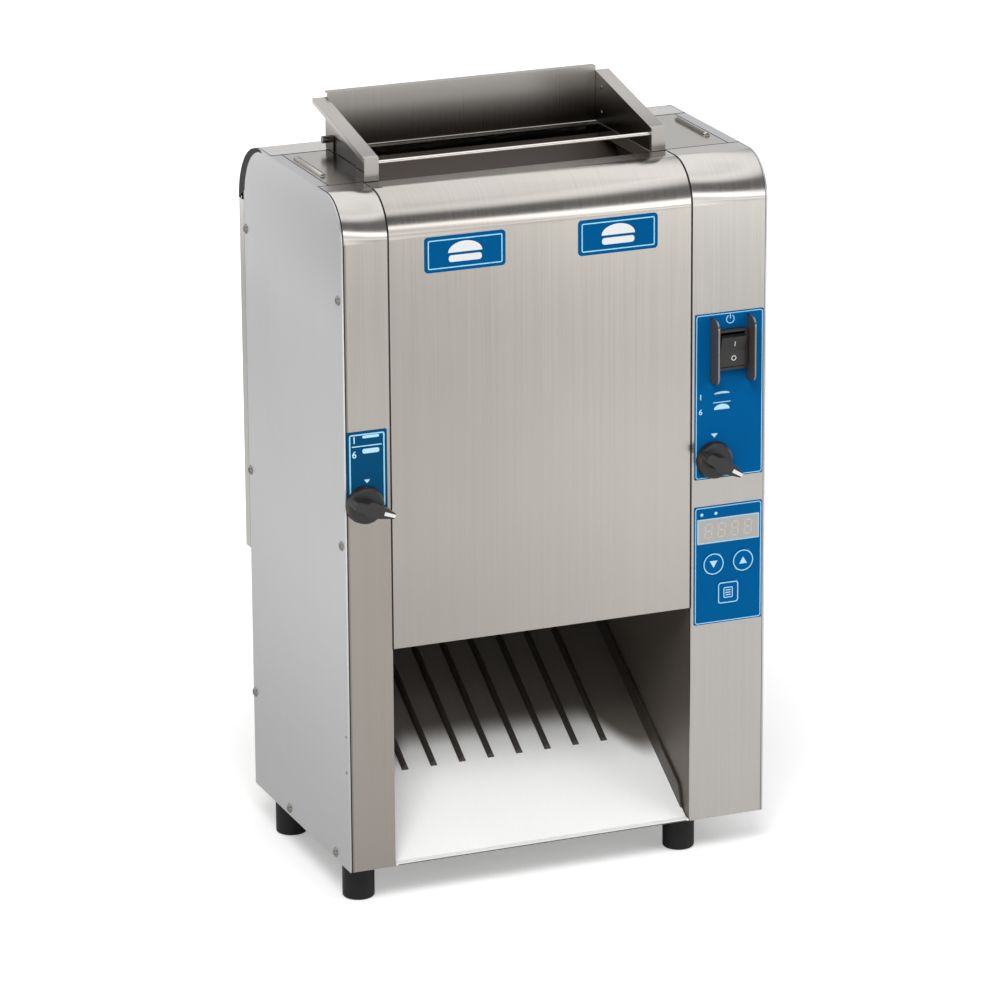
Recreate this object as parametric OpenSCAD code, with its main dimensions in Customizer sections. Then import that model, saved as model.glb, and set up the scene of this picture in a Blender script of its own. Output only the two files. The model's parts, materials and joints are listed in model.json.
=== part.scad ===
// Vertical contact toaster: a sheet-steel cabinet with a heated platen between two upright conveyors.
// Bread halves drop in through the hopper on top and slide out over the ribbed chute below the front cover.
// Millimetres, +Z up, the front faces -Y, the origin is under the middle of the part at the feet.

/* [Cabinet] */
// Width over the side panels
body_w = 360; // [346:1:400]
// Depth of the side panels
body_d = 222; // [216:1:250]
// Height of the cabinet above its feet
body_h = 550; // [530:1:600]
// Thickness of the stainless sheet
sheet_t = 1.5; // [1.2:0.1:2]
// Width of the left front column
column_w = 38.5; // [36:0.5:44]
// Width of the control housing on the right
housing_w = 65; // [63:0.5:75]
// Radius of the rounded top edge at the front
front_r = 34; // [32:1:40]
// Radius of the rounded top edge at the rear
rear_r = 40; // [34:1:42]
// Seam beside the front cover
seam = 0.8; // [0.5:0.1:1.2]
// Depth at which the front sheets end on the top
top_break = 53; // [50:1:58]
// Width of the folded lip along the top of a side panel
top_lip = 10; // [8:1:14]

/* [Feet] */
// Height of a foot
foot_h = 30; // [20:1:40]
// Diameter of a foot
foot_d = 26; // [20:1:30]
// Distance of the front feet from the front face
foot_front = 25; // [18:1:40]
// Distance of the rear feet from the front face
foot_rear = 180; // [160:1:195]
// Distance of the left feet from the left side
foot_left = 16; // [15:1:24]
// Distance of the right feet from the right side
foot_right = 64; // [40:1:80]

/* [Front cover and chute] */
// Height of the discharge mouth
mouth_h = 183; // [165:1:190]
// Depth of the folded edges of the front cover
cover_fold = 12; // [8:1:16]
// Slope of the chute floor in degrees
chute_slope = 31; // [25:1:33]
// Depth of the chute's flat front lip
chute_lip = 6; // [4:1:10]
// Depth of the sloping chute floor
chute_d = 190; // [150:1:195]
// Height of the chute's side flanges
chute_flange = 14; // [8:1:20]
// Distance between chute ribs
rib_pitch = 25; // [20:1:40]
// Radius of a chute rib
rib_r = 3; // [2:0.5:4]
// Distance of the rib ends from the front of the chute
rib_start = 82; // [60:1:120]
// Width of the rails that carry the chute
rail_w = 10; // [6:1:14]
// Width of the two labels on the front cover
label_w = 67.5; // [50:0.5:80]
// Height of the two labels on the front cover
label_h = 28.5; // [20:0.5:30]
// Distance of a label's middle from the middle of the cover
label_x = 64.5; // [45:0.5:70]
// Distance of the labels' middle below the bend of the cover
label_drop = 15.5; // [15:0.5:80]

/* [Hopper] */
// Width between the hopper sides
hopper_w = 231; // [200:1:233]
// Depth of the hopper
hopper_d = 114; // [110:1:118]
// Distance of the hopper from the front face
hopper_y = 51; // [50:1:54]
// Height of the hopper sides at the front
hopper_front_h = 18.5; // [16:0.5:40]
// Height of the hopper sides at the rear
hopper_rear_h = 41.5; // [38:0.5:80]
// Width of the hopper's folded flanges
hopper_flange = 12; // [8:1:16]
// Height of the hopper back above its sides
hopper_back_up = 4; // [0:0.5:10]
// Diameter of the front rod
rod_d = 3; // [2:0.5:5]
// Height of the front rod
rod_z = 13.5; // [10:0.5:14]

/* [Rear] */
// Distance that the rear cover stands behind the side panels
rear_proud = 11; // [6:0.5:13]
// Height of the rear cover's lower edge above the cabinet's bottom
rear_cover_z = 205; // [190:1:240]
// Flat depth of the rear cover on top
rear_flat = 23; // [20:1:26]
// Size of the cooling fan
fan_w = 58; // [40:1:60]
// Thickness of the cooling fan
fan_t = 20; // [15:1:25]
// Height of the fan's middle above the cabinet's bottom
fan_z = 105; // [95:1:120]
// Height of the power inlet's middle above the cabinet's bottom
inlet_z = 38; // [30:1:45]

/* [Controls] */
// Height of the knobs above the cabinet's bottom
knob_h = 306; // [295:1:312]
// Distance of the left knob from the left side
knob_left = 16; // [16:0.5:18]
// Distance of the right knob from the left edge of the control housing
knob_right = 19; // [18:0.5:24]
// Radius of a knob's skirt
knob_r = 15.5; // [13:0.5:16]
// Reach of a knob in front of the cabinet
knob_reach = 19; // [15:0.5:20.5]
// Reach of a knob's pointer from its axis
pointer_r = 20.5; // [17:0.5:21]
// Diameter of the knob shafts
knob_shaft_d = 8; // [6:0.5:8]
// Settings on a knob
settings = 6; // [4:1:6]
// Turn between two settings in degrees
setting_step = 50; // [35:1:50]
// Setting at rest, counted from zero
rest_setting = 2; // [0:1:3]
// Rise of the cam for each setting
cam_rise = 0.36; // [0.2:0.02:0.5]
// Thickness of the printed overlays
overlay_t = 0.6; // [0.4:0.1:1]
// Width of the two right overlays
overlay_w = 59.5; // [54:0.5:60]
// Bottom of the upper overlay
upper_z = 290; // [284:0.5:292]
// Height of the upper overlay
upper_h = 137; // [135:0.5:145]
// Bottom of the lower overlay
lower_z = 167.5; // [158:0.5:172]
// Height of the lower overlay
lower_h = 99.5; // [98:0.5:105]
// Width of the left overlay
left_overlay_w = 33.5; // [32:0.5:34]
// Height of the left overlay above the knob's axis
left_overlay_h = 59.5; // [50:0.5:70]
// Height of the switch above the cabinet's bottom
switch_z = 397; // [394:0.5:400]
// Width of the switch bezel
bezel_w = 27.5; // [26:0.5:28]
// Height of the switch bezel
bezel_h = 33; // [32:0.5:35]
// Tilt of the rocker from its middle position in degrees
rocker_tilt = 8; // [5:1:9]
// Width over the guard
guard_w = 33; // [31:0.5:36]
// Length of the guard
guard_l = 53; // [46:0.5:54]
// Reach of the guard in front of the cabinet
guard_reach = 15.5; // [14:0.5:20]
// Thickness of the guard
guard_t = 1.3; // [1:0.1:2]
// Height of the display's middle above the cabinet's bottom
display_z = 246; // [244.5:0.5:247.5]
// Width of the display window
display_w = 54.5; // [50:0.5:55]
// Height of the display window
display_h = 21; // [18:0.5:22]
// Radius of a round key
key_r = 9.2; // [7:0.1:9.5]
// Distance between the round keys
key_gap = 26; // [24:0.5:30]
// Height of the round keys' middle above the cabinet's bottom
key_z = 218; // [216.5:0.5:219.5]
// Height of the square key's middle above the cabinet's bottom
square_key_z = 192.5; // [190:0.5:194]
// Travel of a key
key_travel = 0.4; // [0.2:0.1:0.4]

/* [Conveyors and platen] */
// Space between a belt's edge and the chamber wall beside it
belt_side = 13.25; // [12:0.25:20]
// Height of the drive shafts above the cabinet's bottom
drive_h = 220; // [214:1:225]
// Distance of the idler shafts below the top
idler_drop = 55; // [50:1:65]
// Diameter of the drive and idler shafts
shaft_d = 12; // [8:0.5:12]
// Radius of the rollers
roller_r = 20; // [17:0.5:21]
// Number of rollers on a shaft
rollers = 4; // [2:1:5]
// Width of a roller
roller_w = 24; // [15:1:30]
// Thickness of a belt
belt_t = 1.6; // [1:0.1:2]
// Thickness of the conveyor side plates
plate_t = 2; // [1.5:0.1:3]
// Thickness of the platen
platen_t = 24; // [18:1:28]
// Distance of the platen's top below the cabinet's top
platen_drop = 25; // [22:1:35]
// Distance of the platen's lower edge above the drive shafts
platen_low = -15; // [-20:1:10]
// Diameter of the heating rods
heater_d = 8; // [6:0.5:10]
// Number of heating rods
heaters = 3; // [2:1:4]
// Thickness of the release sheet
release_t = 0.5; // [0.3:0.1:0.8]

/* [Gear train] */
// Module of the gears
gear_m = 1.5; // [1.45:0.01:1.55]
// Teeth of each gear
gear_teeth = 25; // [24:1:26]
// Width of the gears
gear_w = 6; // [4:0.5:8]
// Free play of the teeth at the pitch circle
backlash = 0.25; // [0.2:0.05:0.4]

/* [Clearances] */
// Radial clearance of a turning shaft
run_clear = 0.05; // [0.02:0.01:0.1]
// Gap at which a loose piece sits on its seat
seat_gap = 0.3; // [0.2:0.05:0.4]
// Gap between a belt and its rollers
belt_clear = 0.4; // [0.3:0.05:0.6]

/* [Hidden] */
$fn = 64;
x_left = -body_w / 2;
x_right = body_w / 2;
xi_l = x_left + column_w;
xi_r = x_right - housing_w;
xc = (xi_l + xi_r) / 2;
xh = (xi_r + x_right) / 2;
y_front = (max(guard_reach, knob_reach) - rear_proud - body_d) / 2;
y_back = y_front + body_d;
z_base = foot_h;
z_top = foot_h + body_h;
z_mouth = z_base + mouth_h;

// Conveyors stand on both sides of the platen, which is under the middle of the hopper
pitch_r = gear_m * gear_teeth / 2;
y_platen = y_front + hopper_y + hopper_d / 2;
y_fd = y_platen - 3 * pitch_r;
y_rd = y_platen + 3 * pitch_r;
z_drive = z_base + drive_h;
z_idler = z_top - idler_drop;
loop_r = roller_r + belt_clear + belt_t;
belt_w = xi_r - xi_l - 2 * belt_side;
plate_gap = 1.5;
plate_x = belt_w / 2 + plate_gap;
plate_half = roller_r - 4;
shaft_r = shaft_d / 2;
bush_r = shaft_r + 2;
bush_flange_r = bush_r + 3;
bush_flange_t = 2.5;
bush_in = 3;
gear_x = xi_r + sheet_t + bush_flange_t + 0.7;
stud_r = 5;
platen_z0 = z_drive + platen_low;
platen_z1 = z_top - platen_drop;
platen_tip = 4;
platen_taper = 14;

// Knob shafts, cams and the conveyor pins that they push
x_kl = x_left + knob_left;
x_kr = xi_r + knob_right;
z_knob = z_base + knob_h;
knob_shaft_r = knob_shaft_d / 2;
cam_r = 12;
pin_r = 4;
pin_short = 6;
pin_slot = 7;
bracket_t = 4;
bracket_h = 20;

// Motor beside the gear train
pinion_z = z_drive - 2 * pitch_r;
pinion_y = y_platen + pitch_r;
pinion_shaft_r = 4;
gearbox_x = gear_x + gear_w + 3;
gearbox_w = 20;
gearbox_y = [pinion_y - 28, pinion_y + 42];
gearbox_z = [pinion_z - 52, pinion_z + 14];
stack_w = 20;
stack_half = [24, 20];
post_r = 4;
posts = [[gearbox_y[0] + 6, gearbox_z[0] + 6], [gearbox_y[1] - 6, gearbox_z[0] + 6],
         [gearbox_y[1] - 6, gearbox_z[1] - 6]];

// Control board behind the lower overlay
board_y = y_front + 9;
board_t = 1.6;
board_w = 58;
button_h = 2;
board_z = [z_base + square_key_z - 12, z_base + display_z + 16];
stem_r = 3;

// Box between two corners
module block(low, high) translate(low) cube(high - low);

// Rectangle between two corners
module box2(low, high) translate(low) square(high - low);

// Rectangle with round corners about its middle
module rounded2(w, h, r) {
    square([w - 2 * r, h], center = true);
    square([w, h - 2 * r], center = true);
    for (sx = [-1, 1], sy = [-1, 1])
        translate([sx * (w / 2 - r), sy * (h / 2 - r)]) circle(r);
}

// Outline in the YZ plane, drawn out along X
module yz(x, w) translate([x, 0, 0]) rotate([90, 0, 90]) linear_extrude(w) children();

// Outline in the XZ plane, drawn out along Y
module xz(y, d) translate([0, y + d, 0]) rotate([90, 0, 0]) linear_extrude(d) children();

// Rods along X and along Y
module rod_x(x0, x1, y, z, r) translate([x0, y, z]) rotate([0, 90, 0]) cylinder(h = x1 - x0, r = r);
module rod_y(y0, y1, x, z, r) translate([x, y0, z]) rotate([-90, 0, 0]) cylinder(h = y1 - y0, r = r);

// What a rounded top corner takes away: front corners open to +Y, rear corners to -Y
module corner_cut(y, z, r, way)
    difference() {
        translate([way > 0 ? y - 1 : y - r, z - r]) square(r + 1);
        translate([y + way * r, z - r]) circle(r);
    }

// Side view of the cabinet, drawn in by a margin
module side_outline(m, z0)
    difference() {
        box2([y_front + m, z0], [y_back - m, z_top - m]);
        corner_cut(y_front + m, z_top - m, front_r - m, 1);
        corner_cut(y_back - m, z_top - m, rear_r - m, -1);
    }

// Section of a front sheet that rises from z0, goes round the top edge and back to a depth
module front_strip(z0, depth)
    difference() {
        intersection() {
            side_outline(0, z0);
            box2([y_front - 1, z0], [y_front + depth, z_top + 1]);
        }
        side_outline(sheet_t, z_base - 1);
    }

// Long round-ended outline between two heights
module stadium(y, z0, z1, r) {
    box2([y - r, z0], [y + r, z1]);
    for (z = [z0, z1]) translate([y, z]) circle(r);
}

// Sheet parts of the cabinet
mouth_margin = 12;
pan_flange = 16;
module base_pan()
    color("silver") difference() {
        union() {
            block([x_left + sheet_t, y_front + sheet_t, z_base], [x_right - sheet_t, y_back - sheet_t, z_base + sheet_t]);
            for (x = [x_left + sheet_t, x_right - 2 * sheet_t])
                block([x, y_front + mouth_margin, z_base], [x + sheet_t, y_back - mouth_margin, z_base + pan_flange]);
        }
        block([xi_l, y_front, z_base - 1], [xi_r, y_front + mouth_margin, z_base + sheet_t + 1]);
    }

// Everything in the chute's own frame: X across, Y up the slope, Z square to the floor
module on_slope() translate([0, y_front + chute_lip, z_base + seat_gap]) rotate([chute_slope, 0, 0]) children();
chute_len = (chute_d - chute_lip) / cos(chute_slope);

module rail(x0, x1) on_slope() block([x0, 30, -seat_gap - sheet_t], [x1, chute_len - 10, -seat_gap]);

// Wall beside the toasting space, with the seats of both drive shafts
module inner_wall(x)
    difference() {
        yz(x, sheet_t) side_outline(sheet_t + seat_gap, z_base + sheet_t);
        for (y = [y_fd, y_rd]) rod_x(x - 1, x + sheet_t + 1, y, z_drive, bush_r);
    }

// Slot that lets a conveyor pin through a wall
module pin_window(x, y)
    yz(x - 1, sheet_t + 2) translate([y, z_knob]) rounded2(2 * pin_slot, 2 * pin_r + 1, pin_r);

module left_inner_wall()
    color("silver") difference() {
        union() {
            difference() {
                inner_wall(xi_l - sheet_t);
                pin_window(xi_l - sheet_t, y_rd);
            }
            rail(xi_l - 1, xi_l + rail_w);
            block([x_kl - bracket_h / 2 + 1, y_rd - 32, z_knob - bracket_h / 2],
                  [xi_l - 1, y_rd - 32 + bracket_t, z_knob + bracket_h / 2]);
        }
        rod_y(y_rd - 33, y_rd - 30 + bracket_t, x_kl, z_knob, knob_shaft_r + run_clear);
    }

module right_inner_wall()
    color("silver") difference() {
        union() {
            difference() {
                inner_wall(xi_r);
                pin_window(xi_r, y_fd);
                for (i = [0 : heaters - 1])
                    rod_x(xi_r - 1, xi_r + sheet_t + 1, y_platen, heater_z(i), heater_d / 2 + 1);
            }
            rail(xi_r - rail_w, xi_r + 1);
            block([xi_r + 1, y_fd - 32, z_knob - bracket_h / 2],
                  [x_kr + bracket_h / 2, y_fd - 32 + bracket_t, z_knob + bracket_h / 2]);
            for (y = [y_platen - pitch_r, y_platen + pitch_r]) {
                rod_x(xi_r + 1, gear_x + gear_w + seat_gap, y, z_drive, stud_r);
                rod_x(gear_x + gear_w + seat_gap, gear_x + gear_w + 1.5, y, z_drive, stud_r + 2);
            }
            for (p = posts) rod_x(xi_r + 1, gearbox_x, p[0], p[1], post_r);
        }
        rod_y(y_fd - 33, y_fd - 30 + bracket_t, x_kr, z_knob, knob_shaft_r + run_clear);
    }

// Two small tooling holes by the front edge of each panel
tooling_r = 1.4;
tooling_in = 5.5;
tooling_z = [83, 113];
module side_panel() {
    difference() {
        yz(x_left, sheet_t) side_outline(0, z_base);
        for (z = tooling_z) rod_x(x_left - 1, x_left + sheet_t + 1, y_front + tooling_in, z_base + z, tooling_r);
    }
    block([x_left, y_front + top_break + seat_gap, z_top - sheet_t],
          [x_left + top_lip, y_back - rear_r - rear_flat - seat_gap, z_top]);
}
module left_side_panel() color("lightgray") side_panel();
module right_side_panel() color("lightgray") mirror([1, 0, 0]) side_panel();

module left_column()
    color("silver") difference() {
        yz(x_left + sheet_t + seam / 2, column_w - sheet_t - seam / 2) front_strip(z_base, top_break);
        rod_y(y_front - 1, y_front + sheet_t + 1, x_kl, z_knob, knob_shaft_r + run_clear);
    }

// Places of the keys: down, up and program
key_places = [[xh - key_gap / 2, z_base + key_z], [xh + key_gap / 2, z_base + key_z],
              [xh, z_base + square_key_z]];
display_rim = 2;
switch_inset = 1.3;
slot_gap = 0.25;

// Slots of the guard's two wings
module guard_slots(y, d)
    for (s = [-1, 1])
        translate([xh + s * (guard_w - guard_t) / 2, y + d / 2, z_base + switch_z])
            cube([guard_t + 2 * slot_gap, d, guard_l + 2 * slot_gap], center = true);

// Hole of the switch body
module switch_hole(y, d, gap)
    xz(y, d) translate([xh, z_base + switch_z])
        square([bezel_w - 2 * switch_inset + 2 * gap, bezel_h - 2 * switch_inset + 2 * gap], center = true);

module control_front()
    color("silver") difference() {
        yz(xi_r, housing_w - sheet_t - seam / 2) front_strip(z_base, top_break);
        rod_y(y_front - 1, y_front + sheet_t + 1, x_kr, z_knob, knob_shaft_r + run_clear);
        guard_slots(y_front - 1, sheet_t + 2);
        switch_hole(y_front - 1, sheet_t + 2, slot_gap);
        xz(y_front - 1, sheet_t + 2) translate([xh, z_base + display_z])
            square([display_w - 2 * display_rim, display_h - 2 * display_rim], center = true);
        for (k = key_places) rod_y(y_front - 1, y_front + sheet_t + 1, k[0], k[1], stem_r + seat_gap);
    }

// Rear cover: flat on top, round the rear edge and down the back, with folded sides
cover_r = rear_r + rear_proud;
module rear_cover() {
    z0 = z_base + rear_cover_z;
    y1 = y_back + rear_proud;
    y0 = y_back - rear_r - rear_flat;
    z_bend = z_top - cover_r;
    color("silver") {
        yz(x_left + sheet_t + seam / 2, body_w - 2 * sheet_t - seam) difference() {
            box2([y0, z_bend], [y1, z_top]);
            corner_cut(y1, z_top, cover_r, -1);
            difference() {
                box2([y0 - 1, z_bend - 1], [y1 - sheet_t, z_top - sheet_t]);
                corner_cut(y1 - sheet_t, z_top - sheet_t, cover_r - sheet_t, -1);
            }
        }
        block([x_left, y1 - sheet_t, z0], [x_right, y1, z_bend]);
        for (x = [x_left, x_right - sheet_t]) block([x, y_back + seat_gap, z0], [x + sheet_t, y1, z_bend]);
        block([x_left, y_back + seat_gap, z0], [x_right, y1, z0 + sheet_t]);
    }
}

// Lower back panel with the grille of the fan and the hole of the inlet
inlet_w = 47;
inlet_h = 27;
inlet_flange = 4;
grille_slots = 6;
module lower_back_panel()
    color("silver") difference() {
        block([x_left + sheet_t + seam / 2, y_back - sheet_t, z_base],
              [x_right - sheet_t - seam / 2, y_back, z_base + rear_cover_z + 10]);
        for (i = [0 : grille_slots - 1]) {
            pitch = (fan_w - 8) / grille_slots;
            z = z_base + fan_z + (i - (grille_slots - 1) / 2) * pitch;
            half = sqrt(pow(fan_w / 2 - 3, 2) - pow(z - z_base - fan_z, 2));
            xz(y_back - sheet_t - 1, sheet_t + 2) translate([xh, z]) rounded2(2 * half, 4.5, 2.2);
        }
        xz(y_back - sheet_t - 1, sheet_t + 2) translate([xh, z_base + inlet_z])
            square([inlet_w - 2 * inlet_flange, inlet_h - 2 * inlet_flange], center = true);
    }

// Top plates beside the hopper's throat, each with a folded throat edge and a raised louvre
throat_half = belt_w / 2;
throat_fold = 10;
louvre_l = 60;
louvre_r = 2.5;
module top_plate(x0, x1, fold_x, louvre_x) {
    y0 = y_front + top_break + seat_gap;
    y1 = y_back - rear_r - rear_flat - seat_gap;
    block([x0, y0, z_top - sheet_t], [x1, y1, z_top]);
    block([fold_x, y0, z_top - throat_fold], [fold_x + sheet_t, y1, z_top]);
    intersection() {
        rod_y((y0 + y1 - louvre_l) / 2 + 5, (y0 + y1 + louvre_l) / 2 + 5, louvre_x, z_top, louvre_r);
        block([x0, y0, z_top - sheet_t / 2], [x1, y1, z_top + louvre_r]);
    }
}
module top_plate_left()
    color("silver") top_plate(x_left + top_lip + seat_gap, xc - throat_half, xc - throat_half - sheet_t,
                              x_left + top_lip + 6);
module top_plate_right()
    color("silver") top_plate(xc + throat_half, x_right - top_lip - seat_gap, xc + throat_half,
                              x_right - top_lip - 6);

// Round screw heads on both side panels: distance from the front, height above the cabinet's bottom
screw_r = 3.5;
screw_h = 1.8;
screw_front = 9;
screw_rear = body_d - 3.7;
screw_places = [[screw_front, 470], [screw_front, 271], [33, 6], [140, 6],
                [screw_rear, 476], [screw_rear, 273], [screw_rear, 81]];
module panel_screws()
    color("gainsboro") for (side = [0, 1]) mirror([side, 0, 0])
        for (p = screw_places)
            translate([x_left, y_front + p[0], z_base + p[1]]) rotate([0, -90, 0]) {
                cylinder(h = screw_h / 2, r = screw_r);
                translate([0, 0, screw_h / 2]) cylinder(h = screw_h / 2, r1 = screw_r, r2 = screw_r - 1.3);
            }

foot_places = [for (x = [x_left + foot_left, x_right - foot_right], y = [foot_front, foot_rear]) [x, y_front + y]];
foot_round = 2;
module feet()
    color("black") for (p = foot_places) translate([p[0], p[1], 0]) rotate_extrude() {
        box2([0, foot_round], [foot_d / 2, foot_h]);
        box2([0, 0], [foot_d / 2 - foot_round, foot_h]);
        translate([foot_d / 2 - foot_round, foot_round]) circle(foot_round);
    }

// Front cover: bent sheet with folded side and bottom edges and a lip at the throat
module front_cover() {
    x0 = xi_l + seam;
    x1 = xi_r - seam;
    z_bend = z_top - front_r;
    y_in = y_front + sheet_t;
    y_end = y_front + hopper_y - 1;
    color("silver") {
        yz(x0, x1 - x0) front_strip(z_mouth, hopper_y - 1);
        block([x0, y_in - 0.5, z_mouth], [x1, y_in + cover_fold, z_mouth + sheet_t]);
        for (x = [x0, x1 - sheet_t]) block([x, y_in - 0.5, z_mouth], [x + sheet_t, y_in + cover_fold, z_bend]);
        block([x0, y_end - sheet_t, z_top - 8], [x1, y_end, z_top]);
    }
}

module plate_on_front(x, z, w, h, r) xz(y_front - overlay_t, overlay_t) translate([x, z]) rounded2(w, h, r);

module cover_labels()
    color("steelblue") for (s = [-1, 1])
        plate_on_front(xc + s * label_x, z_top - front_r - label_drop, label_w, label_h, 3);

// Rib pressed into the chute floor, with a sloping front end
rib_end = 35;
module rib(x) {
    y0 = (rib_start - chute_lip) / cos(chute_slope);
    difference() {
        intersection() {
            rod_y(y0 - 2, chute_len - 1, x, sheet_t - 0.5, rib_r);
            block([x - rib_r - 1, y0 - 1, sheet_t / 2], [x + rib_r + 1, chute_len, sheet_t + rib_r]);
        }
        translate([x, y0, sheet_t]) rotate([rib_end, 0, 0])
            block([-rib_r - 1, -rib_r - 2, 0], [rib_r + 1, 3 * rib_r, 3 * rib_r]);
    }
}

// Side view of the chute in its own frame: the flat lip, the bend, and a flange that starts with a chamfer
flange_start = 10;
function chute_side() =
    let (c = cos(chute_slope), s = sin(chute_slope), top = sheet_t + chute_flange)
    [[-chute_lip * c, chute_lip * s], [0, 0], [chute_len, 0], [chute_len, top], [flange_start + chute_flange, top],
     [flange_start, 2 * sheet_t], [flange_start, sheet_t], [sheet_t * tan(chute_slope / 2), sheet_t],
     [sheet_t * s - chute_lip * c, sheet_t * c + chute_lip * s]];

// Chute: ribbed floor between two side flanges
module chute() {
    x0 = xi_l + seam;
    x1 = xi_r - seam;
    ribs = floor((x1 - x0 - 30) / rib_pitch);
    color("gainsboro") on_slope() {
        difference() {
            yz(x0, x1 - x0) polygon(chute_side());
            block([x0 + sheet_t, flange_start - 1, sheet_t], [x1 - sheet_t, chute_len + 1, sheet_t + chute_flange + 1]);
        }
        for (i = [0 : ribs - 1]) rib((x0 + x1) / 2 + (i - (ribs - 1) / 2) * rib_pitch);
    }
}

// Hopper: two sides with sloping flanges, a back with a lip, and a rod across the front
hopper_z = z_top + seat_gap;
hopper_y0 = y_front + hopper_y;
hopper_y1 = hopper_y0 + hopper_d;
hopper_slope = atan((hopper_rear_h - hopper_front_h) / hopper_d);
hopper_len = hopper_d / cos(hopper_slope);
stud_out = 6;
notch_w = 50;
notch_h = 14;
notch_y = 47;
module hopper_side(notched) {
    x_in = xc - hopper_w / 2;
    difference() {
        yz(x_in - sheet_t, sheet_t)
            polygon([[hopper_y0, hopper_z], [hopper_y0, hopper_z + hopper_front_h],
                     [hopper_y1, hopper_z + hopper_rear_h], [hopper_y1, hopper_z]]);
        if (notched)
            block([x_in - sheet_t - 1, hopper_y0 + notch_y, hopper_z - 1],
                  [x_in + 1, hopper_y0 + notch_y + notch_w, hopper_z + notch_h]);
    }
    translate([0, hopper_y0, hopper_z + hopper_front_h]) rotate([hopper_slope, 0, 0])
        block([x_in - hopper_flange, 0, -sheet_t], [x_in, hopper_len, 0]);
    block([x_in - hopper_flange, hopper_y0, hopper_z], [x_in, hopper_y0 + sheet_t, hopper_z + hopper_front_h]);
    rod_x(x_in - sheet_t - stud_out, x_in - sheet_t / 2, hopper_y1 - 8, hopper_z + 9, 3);
}
module hopper_left_side() color("silver") hopper_side(true);
module hopper_right_side() color("silver") translate([2 * xc, 0, 0]) mirror([1, 0, 0]) hopper_side(false);

module hopper_back() {
    z1 = hopper_z + hopper_rear_h + hopper_back_up;
    x0 = xc - hopper_w / 2;
    color("silver") {
        block([x0, hopper_y1 - sheet_t, hopper_z], [x0 + hopper_w, hopper_y1, z1]);
        block([x0, hopper_y1 - sheet_t, z1 - sheet_t], [x0 + hopper_w, hopper_y1 + 5, z1]);
    }
}
module hopper_rod()
    color("gainsboro") rod_x(xc - hopper_w / 2, xc + hopper_w / 2, hopper_y0 + 4, hopper_z + rod_z, rod_d / 2);

// Printed overlays on the front
module left_overlay()
    color("steelblue") difference() {
        plate_on_front(x_left + sheet_t + seam / 2 + left_overlay_w / 2, z_knob + (left_overlay_h - 7) / 2,
                       left_overlay_w, left_overlay_h + 7, 1);
        rod_y(y_front - 2, y_front + 1, x_kl, z_knob, knob_shaft_r + 1);
    }
module upper_overlay()
    color("steelblue") difference() {
        plate_on_front(xh, z_base + upper_z + upper_h / 2, overlay_w, upper_h, 1);
        rod_y(y_front - 2, y_front + 1, x_kr, z_knob, knob_shaft_r + 1);
        guard_slots(y_front - 2, 4);
        switch_hole(y_front - 2, 4, slot_gap);
    }
module lower_overlay()
    color("steelblue") difference() {
        plate_on_front(xh, z_base + lower_z + lower_h / 2, overlay_w, lower_h, 1);
        xz(y_front - 2, 4) translate([xh, z_base + display_z])
            square([display_w + 2 * slot_gap, display_h + 2 * slot_gap], center = true);
        for (i = [0, 1]) rod_y(y_front - 2, y_front + 1, key_places[i][0], key_places[i][1], key_r + slot_gap);
        xz(y_front - 2, 4) translate(key_places[2]) rounded2(2 * (key_r + slot_gap), 2 * (key_r + slot_gap), 3);
    }
module display_window()
    color("lightgray") xz(y_front - overlay_t, overlay_t) translate([xh, z_base + display_z])
        square([display_w, display_h], center = true);

// Display and board, carried on posts behind the front sheet
module display_module()
    color("dimgray") xz(y_front + sheet_t + 0.5, board_y - y_front - sheet_t - 0.5)
        translate([xh, z_base + display_z]) square([display_w - 6, display_h - 3], center = true);
module control_board()
    color("darkgreen") {
        block([xh - board_w / 2, board_y, board_z[0]], [xh + board_w / 2, board_y + board_t, board_z[1]]);
        for (s = [-1, 1], z = [board_z[0] + 4, board_z[1] - 3.5])
            rod_y(y_front + sheet_t, board_y + board_t / 2, xh + s * (board_w / 2 - 3), z, 2);
        for (k = key_places) rod_y(board_y - button_h, board_y + board_t / 2, k[0], k[1], 2);
    }

// Keys: a cap in the overlay on a stem that reaches the board's button
cap_t = 0.7;
module key_stem(k)
    rod_y(y_front - overlay_t, board_y - button_h - key_travel - 0.1, k[0], k[1], stem_r);
module round_key(k) {
    rod_y(y_front - overlay_t - cap_t + 0.1, y_front - overlay_t + 0.1, k[0], k[1], key_r);
    key_stem(k);
}
module key_down() color("steelblue") round_key(key_places[0]);
module key_up() color("steelblue") round_key(key_places[1]);
module key_program()
    color("steelblue") {
        xz(y_front - overlay_t - cap_t + 0.1, cap_t) translate(key_places[2]) rounded2(2 * key_r, 2 * key_r, 3);
        key_stem(key_places[2]);
    }

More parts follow.
